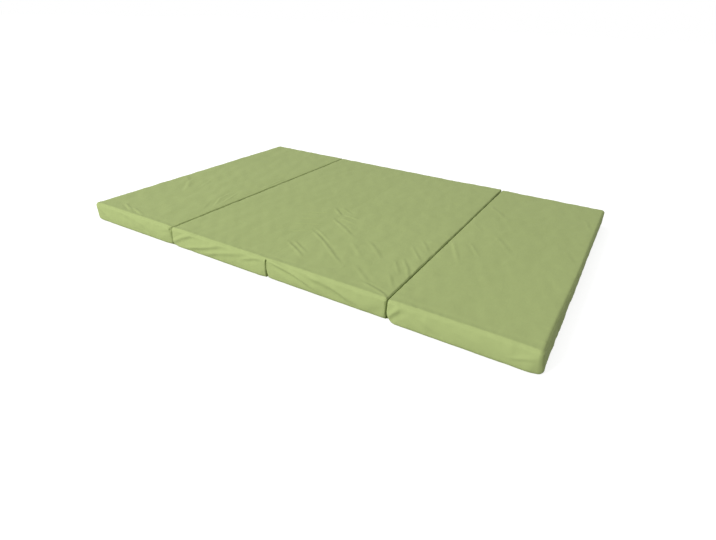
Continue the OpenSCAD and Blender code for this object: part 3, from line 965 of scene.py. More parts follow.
# %% [markdown]
# A settled grid is then dressed: its far corner is lifted, and it is pushed out along its normals by
# the folds, the simulation, the long waves and the puckers at its seams. The seam itself lies in a
# slight groove. Nothing rises over 75.8 mm, because folded sections lie on each other there, and
# the cloth beside the zip stays within 608.2 mm of the middle, because the pull slides over it.

# %% Dress a grid
SOFT_TOP, TOP_GIVE = 0.0750, 0.0008
PULL_ROOM, PULL_GIVE = 0.6078, 0.0004
PULL_STRIP, PULL_EASE = 0.024, 0.012  # how far above and below the zip the pull needs that room
PUCKER_HEIGHT = 0.00035
SEAM_GROOVE = 0.0006
DEEPEST = 0.0028  # how deep a hollow may be
INTO_FOAM = 0.6  # the share of a fold that is left under the bed


def dress(grid, seam_share, pucker_place, amount=1.0, upward=False):
    """seam_share is 0 away from the seams and 1 on them. amount scales the long waves."""
    grid = lift_corner(grid)
    normals = grid_normals(grid)
    flat = grid.reshape(-1, 3)
    facing = normals.reshape(-1, 3)
    push = fold_push(flat, facing) + cloth_push(flat, facing) + uneven(flat) * amount
    gather = np.exp(-(1 - seam_share.ravel()) * 2.2) * smooth_step((1 - seam_share.ravel()) * 6)
    push += PUCKER_HEIGHT * pucker_place.ravel() * gather
    push -= SEAM_GROOVE * smooth_step((seam_share.ravel() - 0.985) / 0.015)
    push = np.where(push < 0, DEEPEST * np.tanh(push / DEEPEST), push)
    if upward:
        push = -np.abs(push) * INTO_FOAM
    grid = grid + normals * push.reshape(normals.shape[:2])[..., None]
    over = np.maximum(grid[..., 2] - SOFT_TOP, 0)
    grid[..., 2] -= over - TOP_GIVE * np.tanh(over / TOP_GIVE)
    beside_zip = smooth_step((PULL_STRIP - np.abs(grid[..., 2] - ZIP_Z)) / PULL_EASE)
    over = np.maximum(grid[..., 1] - PULL_ROOM, 0) * beside_zip
    grid[..., 1] -= over - PULL_GIVE * np.tanh(over / PULL_GIVE)
    return grid


print(f"limit on top: {1000 * (SOFT_TOP + TOP_GIVE):.1f} mm")
print(f"limit beside the zip: {1000 * (PULL_ROOM + PULL_GIVE):.1f} mm")

# %% [markdown]
# The lying surface: one panel on section 1, one long sheet over sections 2 and 3, and one panel on
# section 4. Along the middle fold the sheet has a faint crease where it has been folded often.
# The share tells how near a point is to the seam: 0.8 where the roll begins and 1 at the seam.

# %% Grid of a panel
ROLL_SHARE = 0.8
SHARE_REACH = 0.03  # how far in from the roll the share falls to 0
CREASE_DIP, CREASE_RIM = 0.0003, 0.0001


def panel_grid(sections, low, shares, count=ZIP_LINES, lines=SIDE_LINES):
    xs = lines_x(sections, low, count, lines)
    ys = lines_y(low, shares)
    x, y, drop = cross_lines(xs, ys, SEAM_TURN)
    z = drop if low else EDGE_H - drop
    grid = np.stack([x, y, z], -1)
    settled = np.empty_like(grid)
    for s in sections:
        own = (xs[:, 0] >= MIDDLE[s] - FOLD - 1e-6) & (xs[:, 0] <= MIDDLE[s] + FOLD + 1e-6)
        settled[:, own] = settle(grid[:, own], s, "low" if low else "high")
    most = np.maximum(xs[None, :, 1], ys[:, None, 1])
    inset_x = np.full(len(xs), 1.0)
    for s in sections:
        for side in (-1, 1):
            if not is_joined(s, side, low):
                inset_x = np.minimum(inset_x, np.abs(MIDDLE[s] + side * HALF_L - xs[:, 0]))
    inset_y = HALF_W - np.abs(ys[:, 0])
    near = np.minimum(inset_x[None, :], inset_y[:, None])
    inner = ROLL_SHARE * (1 - np.clip((near - TOP_ROLL) / SHARE_REACH, 0, 1))
    share = np.where(most > 0, ROLL_SHARE + (1 - ROLL_SHARE) * most, inner)
    side_on = inset_x[None, :] < inset_y[:, None]
    pucker = np.where(side_on, puckers(ys[:, None, 0] + 0 * xs[None, :, 0], 0.3 + sections[0]),
                      puckers(xs[None, :, 0] + 0 * ys[:, None, 0], 0.7 * sections[0]))
    return settled, share, pucker


def crease(grid):
    """The faint line of the middle fold, with a low rim on either side."""
    dip = CREASE_DIP * bump(grid[..., 0], 0.0, 0.003)
    rim = CREASE_RIM * bump(np.abs(grid[..., 0]), 0.007, 0.004)
    grid = grid.copy()
    grid[..., 2] += rim - dip
    return grid


def plan_cloth(grid):
    cloth = grid.copy()
    cloth[..., 2] = 0
    return cloth


covers = {}
for name, sections in (("cover_top_1", (1,)), ("cover_top_2_3", (2, 3)), ("cover_top_4", (4,))):
    grid, share, pucker = panel_grid(sections, False, FINE_Y)
    grid = dress(grid, share, pucker)
    if sections == (2, 3):
        grid = crease(grid)
    covers[name] = mesh_object(name, *sheet_mesh(grid, plan_cloth(grid)))
    highest = 1000 * grid[..., 2].max()
    print(f"{name}: {len(covers[name].data.polygons)} faces, highest point {highest:.2f} mm")

# %% [markdown]
# The underside: one sheet under sections 1 and 2, and one under sections 3 and 4. They lie on the
# floor, so their folds only go upwards, into the foam.

# %% The lower panels
for name, sections in (("cover_bottom_1_2", (1, 2)), ("cover_bottom_3_4", (3, 4))):
    grid, share, pucker = panel_grid(sections, True, PLAIN_Y, 44, 8)
    grid = grid[::-1]
    grid = dress(grid, share[::-1], pucker[::-1], 0.5, True)
    covers[name] = mesh_object(name, *sheet_mesh(grid, plan_cloth(grid)))
    print(f"{name}: {len(covers[name].data.polygons)} faces")

# %% [markdown]
# The walls are one band of cloth, sewn to both panels. It runs from one end of the zip round the
# front and back to its other end. Its rows climb from the lower seam, up the wall, to the upper
# seam. Where a wall stands at a fold, the band ends just under the sheet that runs across.

# %% Grid of a wall
WALL_ROWS = 15
UNDER_SHEET = 0.0012  # the band's end lies this far inside the sheet that runs across
FOLD_LAP = 0.010  # height of the rows that end there


def wall_rows(xs, ys, section, low):
    """Rows of a wall's points on its lower or upper roll. xs and ys are the lines of its columns."""
    rows = []
    for turn in np.linspace(SEAM_TURN, 90, len(RINGS)):
        x, y, drop = crossing(xs, ys, turn)
        z = drop if low else EDGE_H - drop
        for side in (-1, 1):
            if is_joined(section, side, low):
                # Columns of the front and back walls run on to their end at full height
                end = (xs[:, 3] == side) & (xs[:, 1] > 0) & (ys[:, 1] >= xs[:, 1])
                _, end_y, end_drop = crossing(xs * [1, 0, 1, 1, 1], ys, turn)
                x = np.where(end, MIDDLE[section] + side * (HALF_L - xs[:, 4] * (1 - xs[:, 1])), x)
                y = np.where(end, end_y, y)
                z = np.where(end, end_drop if low else EDGE_H - end_drop, z)
                # Columns of the wall at the fold stand on the inner side of that sheet
                here = (xs[:, 3] == side) & (xs[:, 1] > ys[:, 1])
                roll = LOW_ROLL if low else TOP_ROLL
                angle = np.radians(SEAM_TURN * ys[:, 1])
                lean = np.where(ys[:, 1] > 0, roll * (1 - np.cos(angle)), 0)
                step = UNDER_SHEET + lean + (turn - SEAM_TURN) / SEAM_TURN * FOLD_LAP
                x = np.where(here, MIDDLE[section] + side * HALF_L, x)
                y = np.where(here & (ys[:, 1] > 0), ys[:, 2] - ys[:, 3] * roll * (1 - np.sin(angle)), y)
                z = np.where(here, step if low else EDGE_H - step, z)
        rows.append(np.stack([x, y, z], -1))
    return rows


def wall_grid(section, low_lines, high_lines):
    """low_lines and high_lines are pairs of line arrays, one row for each column of the wall."""
    lower = wall_rows(*low_lines, section, True)
    upper = wall_rows(*high_lines, section, False)[::-1]
    between = [lower[-1] + (upper[0] - lower[-1]) * k / (WALL_ROWS + 1) for k in range(1, WALL_ROWS + 1)]
    return settle(np.stack(lower + between + upper), section, "wall")


print("rows of a wall:", WALL_ROWS + 2 * len(RINGS))

# %% [markdown]
# The columns of a band are the lines that its rows cross. They start beside the zip panel, go round
# the left end, the front and the right end, and come back to the zip panel.

# %% Columns of a band
LEAST_ROLL = 0.004


def wall_lines_x(section, low, count=ZIP_LINES, lines=SIDE_LINES):
    """Lines across a section's walls, the same number on every side, also where it is joined."""
    middle = MIDDLE[section]
    found = flat_lines(middle + np.linspace(-ZIP_END, ZIP_END, count + 1)[1:-1])
    for side in (-1, 1):
        roll = max(roll_of(section, side, low), LEAST_ROLL)
        flat = flat_lines(middle + side * np.linspace(ZIP_END, HALF_L - roll, lines)[:-1])
        rolled = rolled_lines(middle + side * HALF_L, side, roll)
        outward = flat + (rolled if side > 0 else rolled[::-1])
        found = found + outward if side > 0 else outward[::-1] + found
    return np.array(found)


def round_run(section, low):
    """The lines of the band's columns: from the zip round the left side, the front and the right."""
    xs = wall_lines_x(section, low)
    ys = lines_y(low, FINE_Y)
    end_x, end_y = len(xs) - 1, len(ys) - 1
    tail = SIDE_LINES - 1 + len(RINGS)  # columns of the back wall on either side of the zip panel
    run = [(k, end_y) for k in range(tail - 1, -1, -1)]
    run += [(0, k) for k in range(end_y - 1, -1, -1)]
    run += [(k, 0) for k in range(1, end_x + 1)]
    run += [(end_x, k) for k in range(1, end_y + 1)]
    run += [(k, end_y) for k in range(end_x - 1, end_x - tail, -1)]
    return xs[[x for x, _ in run]], ys[[y for _, y in run]]


for s in SECTIONS:
    low_run, high_run = round_run(s, True), round_run(s, False)
    print("band", s, "columns:", len(low_run[0]), len(high_run[0]))

# %% [markdown]
# The cloth places of a wall are its distance along the band and its height, so the weave runs
# along the band as it would on a strip cut from the roll.

# %% The bands


def wall_cloth(grid):
    middle_row = grid[len(grid) // 2]
    steps = np.linalg.norm(np.diff(middle_row, axis=0), axis=1)
    run = np.concatenate([[0], np.cumsum(steps)])
    climbs = np.linalg.norm(np.diff(grid[:, grid.shape[1] // 2], axis=0), axis=1)
    height = np.concatenate([[0], np.cumsum(climbs)])
    cloth = np.zeros_like(grid)
    cloth[..., 0] = run[None, :]
    cloth[..., 1] = height[:, None]
    return cloth


def wall_share(rows):
    place = np.linspace(-1, 1, rows)
    return np.abs(place) ** 1.5


for s in SECTIONS:
    grid = wall_grid(s, round_run(s, True), round_run(s, False))
    share = np.broadcast_to(wall_share(len(grid))[:, None], grid.shape[:2])
    cloth = wall_cloth(grid)
    gather = puckers(cloth[..., 0], 0.4 * s)
    grid = dress(grid, share, gather, 0.8)
    name = f"cover_band_{s}"
    covers[name] = mesh_object(name, *sheet_mesh(grid, cloth))
    print(f"{name}: {len(covers[name].data.polygons)} faces")

# %% [markdown]
# The zip panel closes the back: a strip of cloth above the zip and one below it. On a real cover
# their edges at the zip are turned under. Here the last row of points is bent in a little.

# %% The zip panels
ZIP_COLUMNS = 77
END_GAP = 0.0001  # between the zip panel and the band
TURNED_IN = 0.0006


def join_parts(parts):
    points, faces, places, count = [], [], [], 0
    for part_points, part_faces, part_places in parts:
        points.append(part_points)
        places.append(part_places)
        faces += [[k + count for k in face] for face in part_faces]
        count += len(part_points)
    return np.concatenate(points), faces, np.concatenate(places)


for s in SECTIONS:
    parts = []
    places = np.linspace(ZIP_END, -ZIP_END, ZIP_COLUMNS) * (1 - END_GAP / ZIP_END)
    xs = np.array(flat_lines(MIDDLE[s] + places))
    for low in (True, False):
        ys = np.broadcast_to(lines_y(low, FINE_Y)[-1], (len(xs), 5))
        rows = wall_rows(xs, ys, s, low)
        start = rows[-1]
        end = start.copy()
        end[:, 2] = ZIP_Z - SLOT if low else ZIP_Z + SLOT
        rows = rows + [start + (end - start) * t for t in (0.3, 0.6, 0.85, 0.95, 1.0)]
        grid = settle(np.stack(rows if low else rows[::-1]), s, "wall")
        zip_row, seam_row = (-1, 0) if low else (0, -1)
        grid[zip_row, :, 1] -= TURNED_IN
        share = np.zeros(grid.shape[:2])
        share[seam_row] = 1.0
        cloth = wall_cloth(grid)
        grid = dress(grid, share, puckers(cloth[..., 0], 0.9 * s), 0.15)
        parts.append(sheet_mesh(grid, cloth))
    name = f"zip_panel_{s}"
    covers[name] = mesh_object(name, *join_parts(parts))
    print(f"{name}: {len(covers[name].data.polygons)} faces")

# %% [markdown]
# A closed sheet must point outwards. Its volume tells: it is positive when the faces are the right
# way round. Any sheet that came out inside out is turned here.

# %% Turn sheets that are inside out


def face_outwards(made):
    shape = bmesh.new()
    shape.from_mesh(made.data)
    if shape.calc_volume(signed=True) < 0:
        bmesh.ops.reverse_faces(shape, faces=shape.faces)
        shape.to_mesh(made.data)
        print("turned", made.name)
    volume = abs(shape.calc_volume(signed=True))
    area = sum(face.calc_area() for face in shape.faces)
    loose = sum(1 for edge in shape.edges if len(edge.link_faces) != 2)
    shape.free()
    return volume, area, loose


for name, made in covers.items():
    volume, area, loose = face_outwards(made)
    print(f"{name}: {area / 2:.3f} m2 of cloth, {2000 * volume / area:.2f} mm thick, open edges {loose}")

# %% [markdown]
# The cover is a plain woven polyester, matt with a very slight shine. Two sets of sines make the
# over-and-under of the threads; in the base colour they also paint the raised crossings a little
# lighter and the low ones a little darker, as painted light and shade on the weave. A larger,
# stretched noise gives the small crinkles between the folds, and a faint one makes the dye a little
# uneven. The cloth places come from each piece's own attribute, so the weave follows the panel.

# %% Cover cloth


def cloth_material(name, light, dark, thread, roughness=0.82):
    material, tree, shader = new_material(
        name, Roughness=roughness, Specular_IOR_Level=0.15,
        Sheen_Weight=0.04, Sheen_Roughness=0.45, Sheen_Tint=(0.85, 0.95, 0.6, 1)
    )
    place = add_node(tree, "ShaderNodeAttribute", {"attribute_name": "cloth_place"}).outputs["Vector"]
    where = place_on_bed(tree)
    axes = add_node(tree, "ShaderNodeSeparateXYZ", None, Vector=place)
    warp = maths(tree, "SINE", maths(tree, "MULTIPLY", axes.outputs[0], math.pi / thread))
    weft = maths(tree, "SINE", maths(tree, "MULTIPLY", axes.outputs[1], math.pi / thread))
    weave = maths(tree, "MULTIPLY", warp, weft)
    dye = add_node(tree, "ShaderNodeTexNoise", None, Vector=where, Scale=3.2, Detail=4.0, Roughness=0.6)
    fleck = add_node(tree, "ShaderNodeTexNoise", None, Vector=place, Scale=420.0, Detail=2.0)
    # The weave's share paints the raised crossings lighter and the low ones darker: painted light and shade
    # on the weave.
    tone_and_weave_shade = maths(tree, "MULTIPLY_ADD", weave, 0.10, dye.outputs[0])
    tone_and_weave_shade = maths(tree, "MULTIPLY_ADD", maths(tree, "SUBTRACT", fleck.outputs[0], 0.5), 0.25, tone_and_weave_shade)
    mix_base_colour(tree, shader, tone_and_weave_shade, dark, light)
    stretch = add_node(
        tree, "ShaderNodeMapping", None, Vector=where, Scale=(1.0, 0.55, 1.0), Rotation=(0, 0, 0.6)
    )
    crinkle = add_node(
        tree, "ShaderNodeTexNoise", None, Vector=stretch.outputs[0],
        Scale=26.0, Detail=3.0, Roughness=0.5, Distortion=0.6
    )
    soft = add_node(tree, "ShaderNodeBump", None, Strength=0.35, Distance=0.004, Height=crinkle.outputs[0])
    fine = add_node(
        tree, "ShaderNodeBump", None, Strength=0.25, Distance=0.00012, Height=weave, Normal=soft.outputs[0]
    )
    tree.links.new(fine.outputs[0], shader.inputs["Normal"])
    return material


cover_cloth = cloth_material("lime_cover_cloth", (0.346, 0.414, 0.164), (0.312, 0.376, 0.146), 0.00045)
for made in covers.values():
    made.data.materials.clear()
    made.data.materials.append(cover_cloth)

# %% [markdown]
# Inside each cover lies a slab of polyurethane foam, cut a little smaller than the cover. It is made
# from the same lines, rolled all the way round its edges, and the upper and lower grids are joined
# by the wall. Behind the zip it is pressed in, so that the slider has room, and along the front it
# is pressed in behind the folds of the cover.

# %% The foam slabs
FOAM_IN = 0.0024  # smaller than the cover by this on every side
FOAM_ROLL = 0.010
FOAM_COLUMNS, FOAM_ROWS = 42, 110
FOAM_FLOOR = 0.0006  # between the foam and the lower panel
FOAM_FRONT = -0.6045  # pressed in so far behind the folds of the front
BAY_HALF, BAY_Y, BAY_DEPTH, BAY_EASE = 0.205, 0.6015, 0.010, 0.010  # the bay behind the zip


def foam_lines(middle, half, count):
    flat = np.linspace(-half + FOAM_ROLL, half - FOAM_ROLL, count)[1:-1]
    left = rolled_lines(middle - half, -1, FOAM_ROLL)
    right = rolled_lines(middle + half, 1, FOAM_ROLL)
    return np.array(left + flat_lines(middle + flat) + right)


def foam_side(section, low):
    xs = foam_lines(MIDDLE[section], HALF_L - FOAM_IN, FOAM_COLUMNS)
    ys = foam_lines(0.0, HALF_W - FOAM_IN, FOAM_ROWS)
    x, y, drop = cross_lines(xs, ys, 90.0)
    z = FABRIC + FOAM_FLOOR + drop if low else EDGE_H - FOAM_IN - drop
    grid = lift_corner(settle(np.stack([x, y, z], -1), section, "wall"))
    behind = smooth_step((BAY_HALF - np.abs(grid[..., 0] - MIDDLE[section])) / BAY_EASE)
    grid[..., 1] = np.clip(grid[..., 1], FOAM_FRONT, BAY_Y + BAY_DEPTH * (1 - behind))
    return grid


foams = {}
for s in SECTIONS:
    upper, lower = foam_side(s, False), foam_side(s, True)
    rows, cols, _ = upper.shape
    first = rows * cols
    faces = quads_of(rows, cols).tolist() + quads_of(rows, cols, first)[:, ::-1].tolist()
    ring = border(rows, cols)
    after = np.roll(ring, -1)
    faces += np.stack([after, ring, ring + first, after + first], -1).tolist()
    points = np.concatenate([upper.reshape(-1, 3), lower.reshape(-1, 3)])
    foams[s] = mesh_object(f"foam_{s}", points, faces)
    volume, area, loose = face_outwards(foams[s])
    print(f"foam_{s}: {1000 * volume:.1f} litres, open edges {loose}")

# %% [markdown]
# Cut foam shows its cells: thousands of tiny round pores. A Voronoi pattern makes them as small pits,
# and also paints the middle of each pit darker, as painted shade in the pores. A noise makes the
# cream colour a little warmer in places.

# %% Foam
foam_material, tree, shader = new_material("cream_foam", Roughness=0.95, Specular_IOR_Level=0.15)
where = place_on_bed(tree)
pores = add_node(tree, "ShaderNodeTexVoronoi", {"feature": "F1"}, Vector=where, Scale=900.0)
patches = add_node(tree, "ShaderNodeTexNoise", None, Vector=where, Scale=9.0, Detail=3.0)
# The pores' distance darkens the middle of each pit: painted shade in the pores. The noise patches are the
# foam's own warmer tone.
pore_shade_and_patches = maths(tree, "MULTIPLY_ADD", pores.outputs["Distance"], 0.5, patches.outputs[0])
mix_base_colour(tree, shader, pore_shade_and_patches, (0.62, 0.52, 0.30), (0.82, 0.74, 0.50))
pitted = add_node(
    tree, "ShaderNodeBump", None, Strength=0.5, Distance=0.0006, Height=pores.outputs["Distance"]
)
tree.links.new(pitted.outputs[0], shader.inputs["Normal"])
for made in foams.values():
    made.data.materials.append(foam_material)

# %% [markdown]
# A zip is sewn behind the slot of each zip panel. Its two tapes are narrow woven strips, and the
# teeth sit on the edges that face each other. Each tape is a flat grid, finer along that edge.

# %% The zip tapes
TAPE_Y = 0.6057
TAPE_T = 0.0006
TAPE_FOOT = 0.00235
TAPE_W = 0.014
TAPE_END = 0.199

tapes = {}
for s in SECTIONS:
    parts = []
    for side in (-1, 1):
        across = TAPE_FOOT + TAPE_W * np.array([0, 0.03, 0.07, 0.12, 0.3, 0.5, 0.7, 0.9, 1.0])
        along = np.linspace(TAPE_END, -TAPE_END, 101)
        grid = np.zeros((len(across), len(along), 3))
        grid[..., 0] = MIDDLE[s] + along[None, :]
        grid[..., 1] = TAPE_Y + TAPE_T / 2
        grid[..., 2] = ZIP_Z + side * across[:, None]
        if side < 0:
            grid = grid[::-1]
        cloth = np.stack([grid[..., 0], grid[..., 2], 0 * grid[..., 0]], -1)
        parts.append(sheet_mesh(grid, cloth, TAPE_T))
    tapes[s] = mesh_object(f"zip_tape_{s}", *join_parts(parts))
    volume, area, loose = face_outwards(tapes[s])
    print(f"zip_tape_{s}: {1e4 * area / 2:.0f} cm2 of tape")

tape_cloth = cloth_material("zip_tape_weave", (0.150, 0.185, 0.060), (0.118, 0.150, 0.046), 0.0006, 0.7)
for made in tapes.values():
    made.data.materials.append(tape_cloth)

# %% [markdown]
# The teeth are moulded onto the tapes, one by one, four millimetres apart, and the two rows are
# shifted by half of that. Eighty-nine teeth in a row would be slow to place by hand. One tooth is
# drawn, and Geometry Nodes repeat it along the row. The tooth is narrow at its tip and broad at its
# foot, and its edges at the front and the back are chamfered.

# %% One tooth
TOOTH_OUTLINE = [  # X and Z, from the foot round the tip and back to the foot
    (-0.0013, 0.0029), (-0.0013, 0.0016), (-0.0009, 0.0011), (-0.0010, 0.0004), (-0.0007, 0.0),
    (0.0007, 0.0), (0.0010, 0.0004), (0.0009, 0.0011), (0.0013, 0.0016), (0.0013, 0.0029),
]
TOOTH_MIDDLE = 0.00145
TOOTH_LEVELS = ((-0.0013, 0.78), (-0.0011, 1.0), (0.0011, 1.0), (0.0013, 0.78))  # Y and scale


def tooth_mesh():
    points, faces = [], []
    count = len(TOOTH_OUTLINE)
    for y, shrink in TOOTH_LEVELS:
        points += [(x * shrink, y, TOOTH_MIDDLE + (z - TOOTH_MIDDLE) * shrink) for x, z in TOOTH_OUTLINE]
    for level in range(3):
        for k in range(count):
            a, b = level * count + k, level * count + (k + 1) % count
            faces.append((a, b, b + count, a + count))
    faces.append(tuple(range(count))[::-1])
    faces.append(tuple(range(3 * count, 4 * count)))
    return outward_mesh("tooth", points, faces)


tooth = put_in_scene("tooth", tooth_mesh())
print("faces of one tooth:", len(tooth.data.polygons))

# %% [markdown]
# The tree below makes a row of anything: it draws a line of points, sets the given shape on each,
# turns it, joins the row to what is already there, and makes it all real. The same tree serves the
# teeth and the stitches. Its inputs are the count, the first place, the step, the turn, the shape
# and the material.

# %% Geometry Nodes: a row of shapes


def new_socket(tree, name, kind, out=False):
    return tree.interface.new_socket(name=name, in_out="OUTPUT" if out else "INPUT", socket_type=kind)


row_tree = bpy.data.node_groups.new("row_of_shapes", "GeometryNodeTree")
new_socket(row_tree, "Geometry", "NodeSocketGeometry", out=True)
ROW_INPUTS = {}
for label, kind in (
    ("Geometry", "NodeSocketGeometry"), ("Count", "NodeSocketInt"), ("First", "NodeSocketVector"),
    ("Step", "NodeSocketVector"), ("Turn", "NodeSocketVector"), ("Shape", "NodeSocketObject"),
    ("Finish", "NodeSocketMaterial"),
):
    ROW_INPUTS[label] = new_socket(row_tree, label, kind).identifier
given = row_tree.nodes.new("NodeGroupInput").outputs
line = add_node(row_tree, "GeometryNodeMeshLine", None, Count=given["Count"], Start_Location=given["First"])
row_tree.links.new(given["Step"], line.inputs["Offset"])
shape_info = add_node(row_tree, "GeometryNodeObjectInfo", None, Object=given["Shape"])
turn = add_node(row_tree, "FunctionNodeEulerToRotation", None, Euler=given["Turn"])
placed = add_node(
    row_tree, "GeometryNodeInstanceOnPoints", None, Points=line.outputs[0],
    Instance=shape_info.outputs["Geometry"], Rotation=turn.outputs[0]
)
real = add_node(row_tree, "GeometryNodeRealizeInstances", None, Geometry=placed.outputs[0])
finished = add_node(
    row_tree, "GeometryNodeSetMaterial", None, Geometry=real.outputs[0], Material=given["Finish"]
)
joined = row_tree.nodes.new("GeometryNodeJoinGeometry")
row_tree.links.new(finished.outputs[0], joined.inputs[0])
row_tree.links.new(given["Geometry"], joined.inputs[0])
group_out = row_tree.nodes.new("NodeGroupOutput")
row_tree.links.new(joined.outputs[0], group_out.inputs[0])


def add_row(piece, count, first, step, shape, finish, turn=(0, 0, 0)):
    row = piece.modifiers.new("row", "NODES")
    row.node_group = row_tree
    values = {"Count": count, "First": first, "Step": step, "Turn": turn, "Shape": shape, "Finish": finish}
    for label, value in values.items():
        row[ROW_INPUTS[label]] = value


def empty_piece(name):
    return put_in_scene(name, bpy.data.meshes.new(name))


def make_real(piece):
    """Turn the result of a piece's modifiers into its plain mesh."""
    bpy.context.view_layer.update()
    graph = bpy.context.evaluated_depsgraph_get()
    mesh = bpy.data.meshes.new_from_object(piece.evaluated_get(graph), depsgraph=graph)
    piece.modifiers.clear()
    piece.data = mesh
    mesh.name = piece.name
    return mesh


print("inputs of the tree:", ", ".join(ROW_INPUTS))

# %% [markdown]
# The teeth are moulded plastic, dyed like the tape, with a soft shine.

# %% The teeth
teeth_material, tree, shader = new_material("moulded_teeth")
cloudy = add_node(tree, "ShaderNodeTexNoise", None, Vector=place_on_bed(tree), Scale=60.0, Detail=3.0)
mix_base_colour(tree, shader, cloudy.outputs[0], (0.110, 0.140, 0.040), (0.150, 0.185, 0.060))
worn = maths(tree, "MULTIPLY_ADD", cloudy.outputs[0], 0.2, 0.28)
tree.links.new(worn, shader.inputs["Roughness"])

TOOTH_PITCH = 0.004
TEETH = 89
TIP_GAP = 0.00045
teeth = {}
for s in SECTIONS:
    teeth[s] = empty_piece(f"zip_teeth_rows_{s}")
    for side in (-1, 1):
        start_x = MIDDLE[s] - (TEETH - 1) / 2 * TOOTH_PITCH + side * TOOTH_PITCH / 4
        first = (start_x, TAPE_Y, ZIP_Z + side * TIP_GAP)
        turn = (0, 0, 0) if side > 0 else (math.pi, 0, 0)
        add_row(teeth[s], TEETH, first, (TOOTH_PITCH, 0, 0), tooth, teeth_material, turn)
    mesh = make_real(teeth[s])
    print(f"zip_teeth_rows_{s}: {len(mesh.polygons)} faces")

# %% [markdown]
# Each strip of the zip panel is held to the tape by a row of stitches, two millimetres from its
# edge, and each end of the panel by a short upright row. A stitch is a short arc of thread that
# dips into the cloth at both ends.

# %% One stitch


def stitch_mesh(length=0.0025, rise=0.00035, radius=0.00022, sunk=0.0001):
    points, faces = [], []
    stations, around = 5, 6
    for k in range(stations):
        t = k / (stations - 1) * 2 - 1
        thick = radius * (1.0 if abs(t) < 0.9 else 0.6)
        for j in range(around):
            angle = j * math.tau / around
            height = rise * (1 - t * t) - sunk
            points.append((t * length / 2, height + thick * math.cos(angle), thick * math.sin(angle)))
    for k in range(stations - 1):
        for j in range(around):
            a, b = k * around + j, k * around + (j + 1) % around
            faces.append((a, b, b + around, a + around))
    faces.append(tuple(range(around)))
    faces.append(tuple(range((stations - 1) * around, stations * around))[::-1])
    mesh = outward_mesh("stitch", points, faces)
    mesh.shade_smooth()
    return mesh


stitch = put_in_scene("stitch", stitch_mesh())
print("faces of one stitch:", len(stitch.data.polygons))

# %% [markdown]
# The thread is a little lighter than the cover and has a soft sheen. A fine slanting wave paints
# lighter and darker bands for its plies: painted light and shade on the twist.

# %% The stitches
thread_material, tree, shader = new_material("lime_thread", Roughness=0.55, Sheen_Weight=0.3)
# The wave's light and dark bands are painted light and shade on the plies of the thread.
painted_ply_shade = add_node(
    tree, "ShaderNodeTexWave", {"bands_direction": "DIAGONAL"},
    Vector=place_on_bed(tree), Scale=900.0, Distortion=1.0
)
mix_base_colour(tree, shader, painted_ply_shade.outputs["Fac"], (0.33, 0.40, 0.16), (0.50, 0.57, 0.29))

STITCH_STEP = 0.0032
ROW_STITCHES, END_STITCHES = 117, 15
FROM_SLOT = 0.0022
FROM_END = 0.0025
WALL_Y = HALF_W - 0.003
stitches = {}
for s in SECTIONS:
    stitches[s] = empty_piece(f"stitches_{s}")
    for side in (-1, 1):
        start_x = MIDDLE[s] - (ROW_STITCHES - 1) / 2 * STITCH_STEP
        first = (start_x, WALL_Y, ZIP_Z + side * (SLOT + FROM_SLOT))
        add_row(stitches[s], ROW_STITCHES, first, (STITCH_STEP, 0, 0), stitch, thread_material)
        start_z = ZIP_Z - (END_STITCHES - 1) / 2 * STITCH_STEP
        first = (MIDDLE[s] + side * (ZIP_END + FROM_END), WALL_Y, start_z)
        upright = (0, math.pi / 2, 0)
        add_row(stitches[s], END_STITCHES, first, (0, 0, STITCH_STEP), stitch, thread_material, upright)
    mesh = make_real(stitches[s])
    print(f"stitches_{s}: {len(mesh.polygons)} faces")

bpy.data.objects.remove(tooth)
bpy.data.objects.remove(stitch)

# %% [markdown]
# The slider, its pull and the stops have the right shape in the CAD model, but die-cast metal has
# no sharp edges. Each is copied, its loose triangles are merged, its flat faces are made whole, and
# a small bevel rounds its edges. The new piece then stands for the CAD node.

# %% The metal of the zip


def rounded_copy(node, name, width):
    made = put_in_scene(name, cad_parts[node].data.copy())
    shape = bmesh.new()
    shape.from_mesh(made.data)
    bmesh.ops.remove_doubles(shape, verts=shape.verts, dist=2e-6)
    bmesh.ops.dissolve_limit(shape, angle_limit=math.radians(1), verts=shape.verts, edges=shape.edges)
    shape.to_mesh(made.data)
    shape.free()
    bevel = made.modifiers.new("round", "BEVEL")
    bevel.width = width
    bevel.segments = 2
    bevel.limit_method = "ANGLE"
    bevel.angle_limit = math.radians(40)
    make_real(made)
    made.data.shade_smooth()
    made.data.set_sharp_from_angle(angle=math.radians(45))
    return made


metal, tree, shader = new_material("zip_metal", Metallic=1.0)
scuffs = add_node(
    tree, "ShaderNodeTexNoise", None, Vector=place_on_bed(tree), Scale=140.0, Detail=5.0, Roughness=0.7
)
mix_base_colour(tree, shader, scuffs.outputs[0], (0.36, 0.35, 0.33), (0.62, 0.61, 0.58))
rough = maths(tree, "MULTIPLY_ADD", scuffs.outputs[0], 0.25, 0.18)
tree.links.new(rough, shader.inputs["Roughness"])

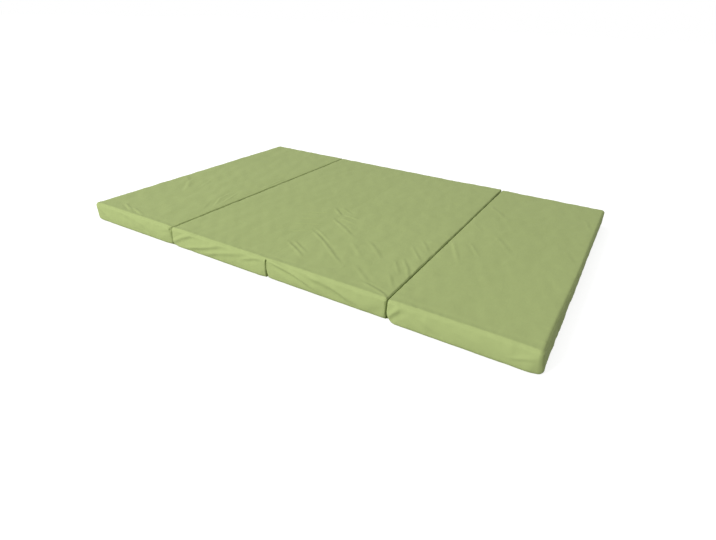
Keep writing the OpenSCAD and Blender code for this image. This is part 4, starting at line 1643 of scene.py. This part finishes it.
metal_pieces = {}
for s in SECTIONS:
    for node, name, width in (
        (f"zip_slider_{s}", f"slider_{s}", 0.00018), (f"zip_pull_{s}", f"pull_{s}", 0.00022),
        (f"zip_stops_{s}", f"stops_{s}", 0.00025),
    ):
        made = rounded_copy(node, name, width)
        made.data.materials.clear()
        made.data.materials.append(metal)
        metal_pieces[name] = made
        volume, area, loose = face_outwards(made)
        print(f"{name}: {len(made.data.polygons)} faces, {1e9 * volume:.0f} mm3, open edges {loose}")

# %% [markdown]
# Every piece is now handed to the frame: which body it moves with and which CAD nodes it stands for.
# A sheet that crosses a fold keeps its place and is given no body.

# %% Hand the pieces to the frame
for s in SECTIONS:
    body = f"section_{s}"
    for made, nodes, finish in (
        (covers[f"cover_band_{s}"], [f"side_band_{s}"], "cover_fabric"),
        (covers[f"zip_panel_{s}"], [f"zip_strip_upper_{s}", f"zip_strip_lower_{s}"], "cover_fabric"),
        (foams[s], [f"foam_core_{s}"], "foam"),
        (tapes[s], [f"zip_tapes_{s}"], "zip_tape"),
        (teeth[s], [f"zip_teeth_{s}"], "zip_teeth"),
        (stitches[s], [], "cover_fabric"),
        (metal_pieces[f"stops_{s}"], [f"zip_stops_{s}"], "zip_metal"),
    ):
        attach(made, body)
        if nodes:
            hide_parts(*nodes)
    for piece in ("slider", "pull"):
        made = metal_pieces[f"{piece}_{s}"]
        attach(made, f"{piece}_{s}")
        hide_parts(f"zip_{piece}_{s}")

for s in (1, 4):
    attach(covers[f"cover_top_{s}"], f"section_{s}")
    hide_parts(f"top_panel_{s}")
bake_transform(covers["cover_top_2_3"])
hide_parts("top_panel_2", "top_panel_3")
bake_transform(covers["cover_bottom_1_2"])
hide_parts("bottom_panel_1", "bottom_panel_2")
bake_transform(covers["cover_bottom_3_4"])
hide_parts("bottom_panel_3", "bottom_panel_4")
print("pieces handed over:", sum(len(k) for k in (covers, foams, tapes, teeth, stitches, metal_pieces)))

# %% [markdown]

# %% [markdown]
# Last, the box of the visual model is printed. Cloth may stand a little proud of the foam, but not much.

# %% Print the box of the visual model
low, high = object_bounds()
print("visual box:", [round(1000 * x, 1) for x in low], [round(1000 * x, 1) for x in high])
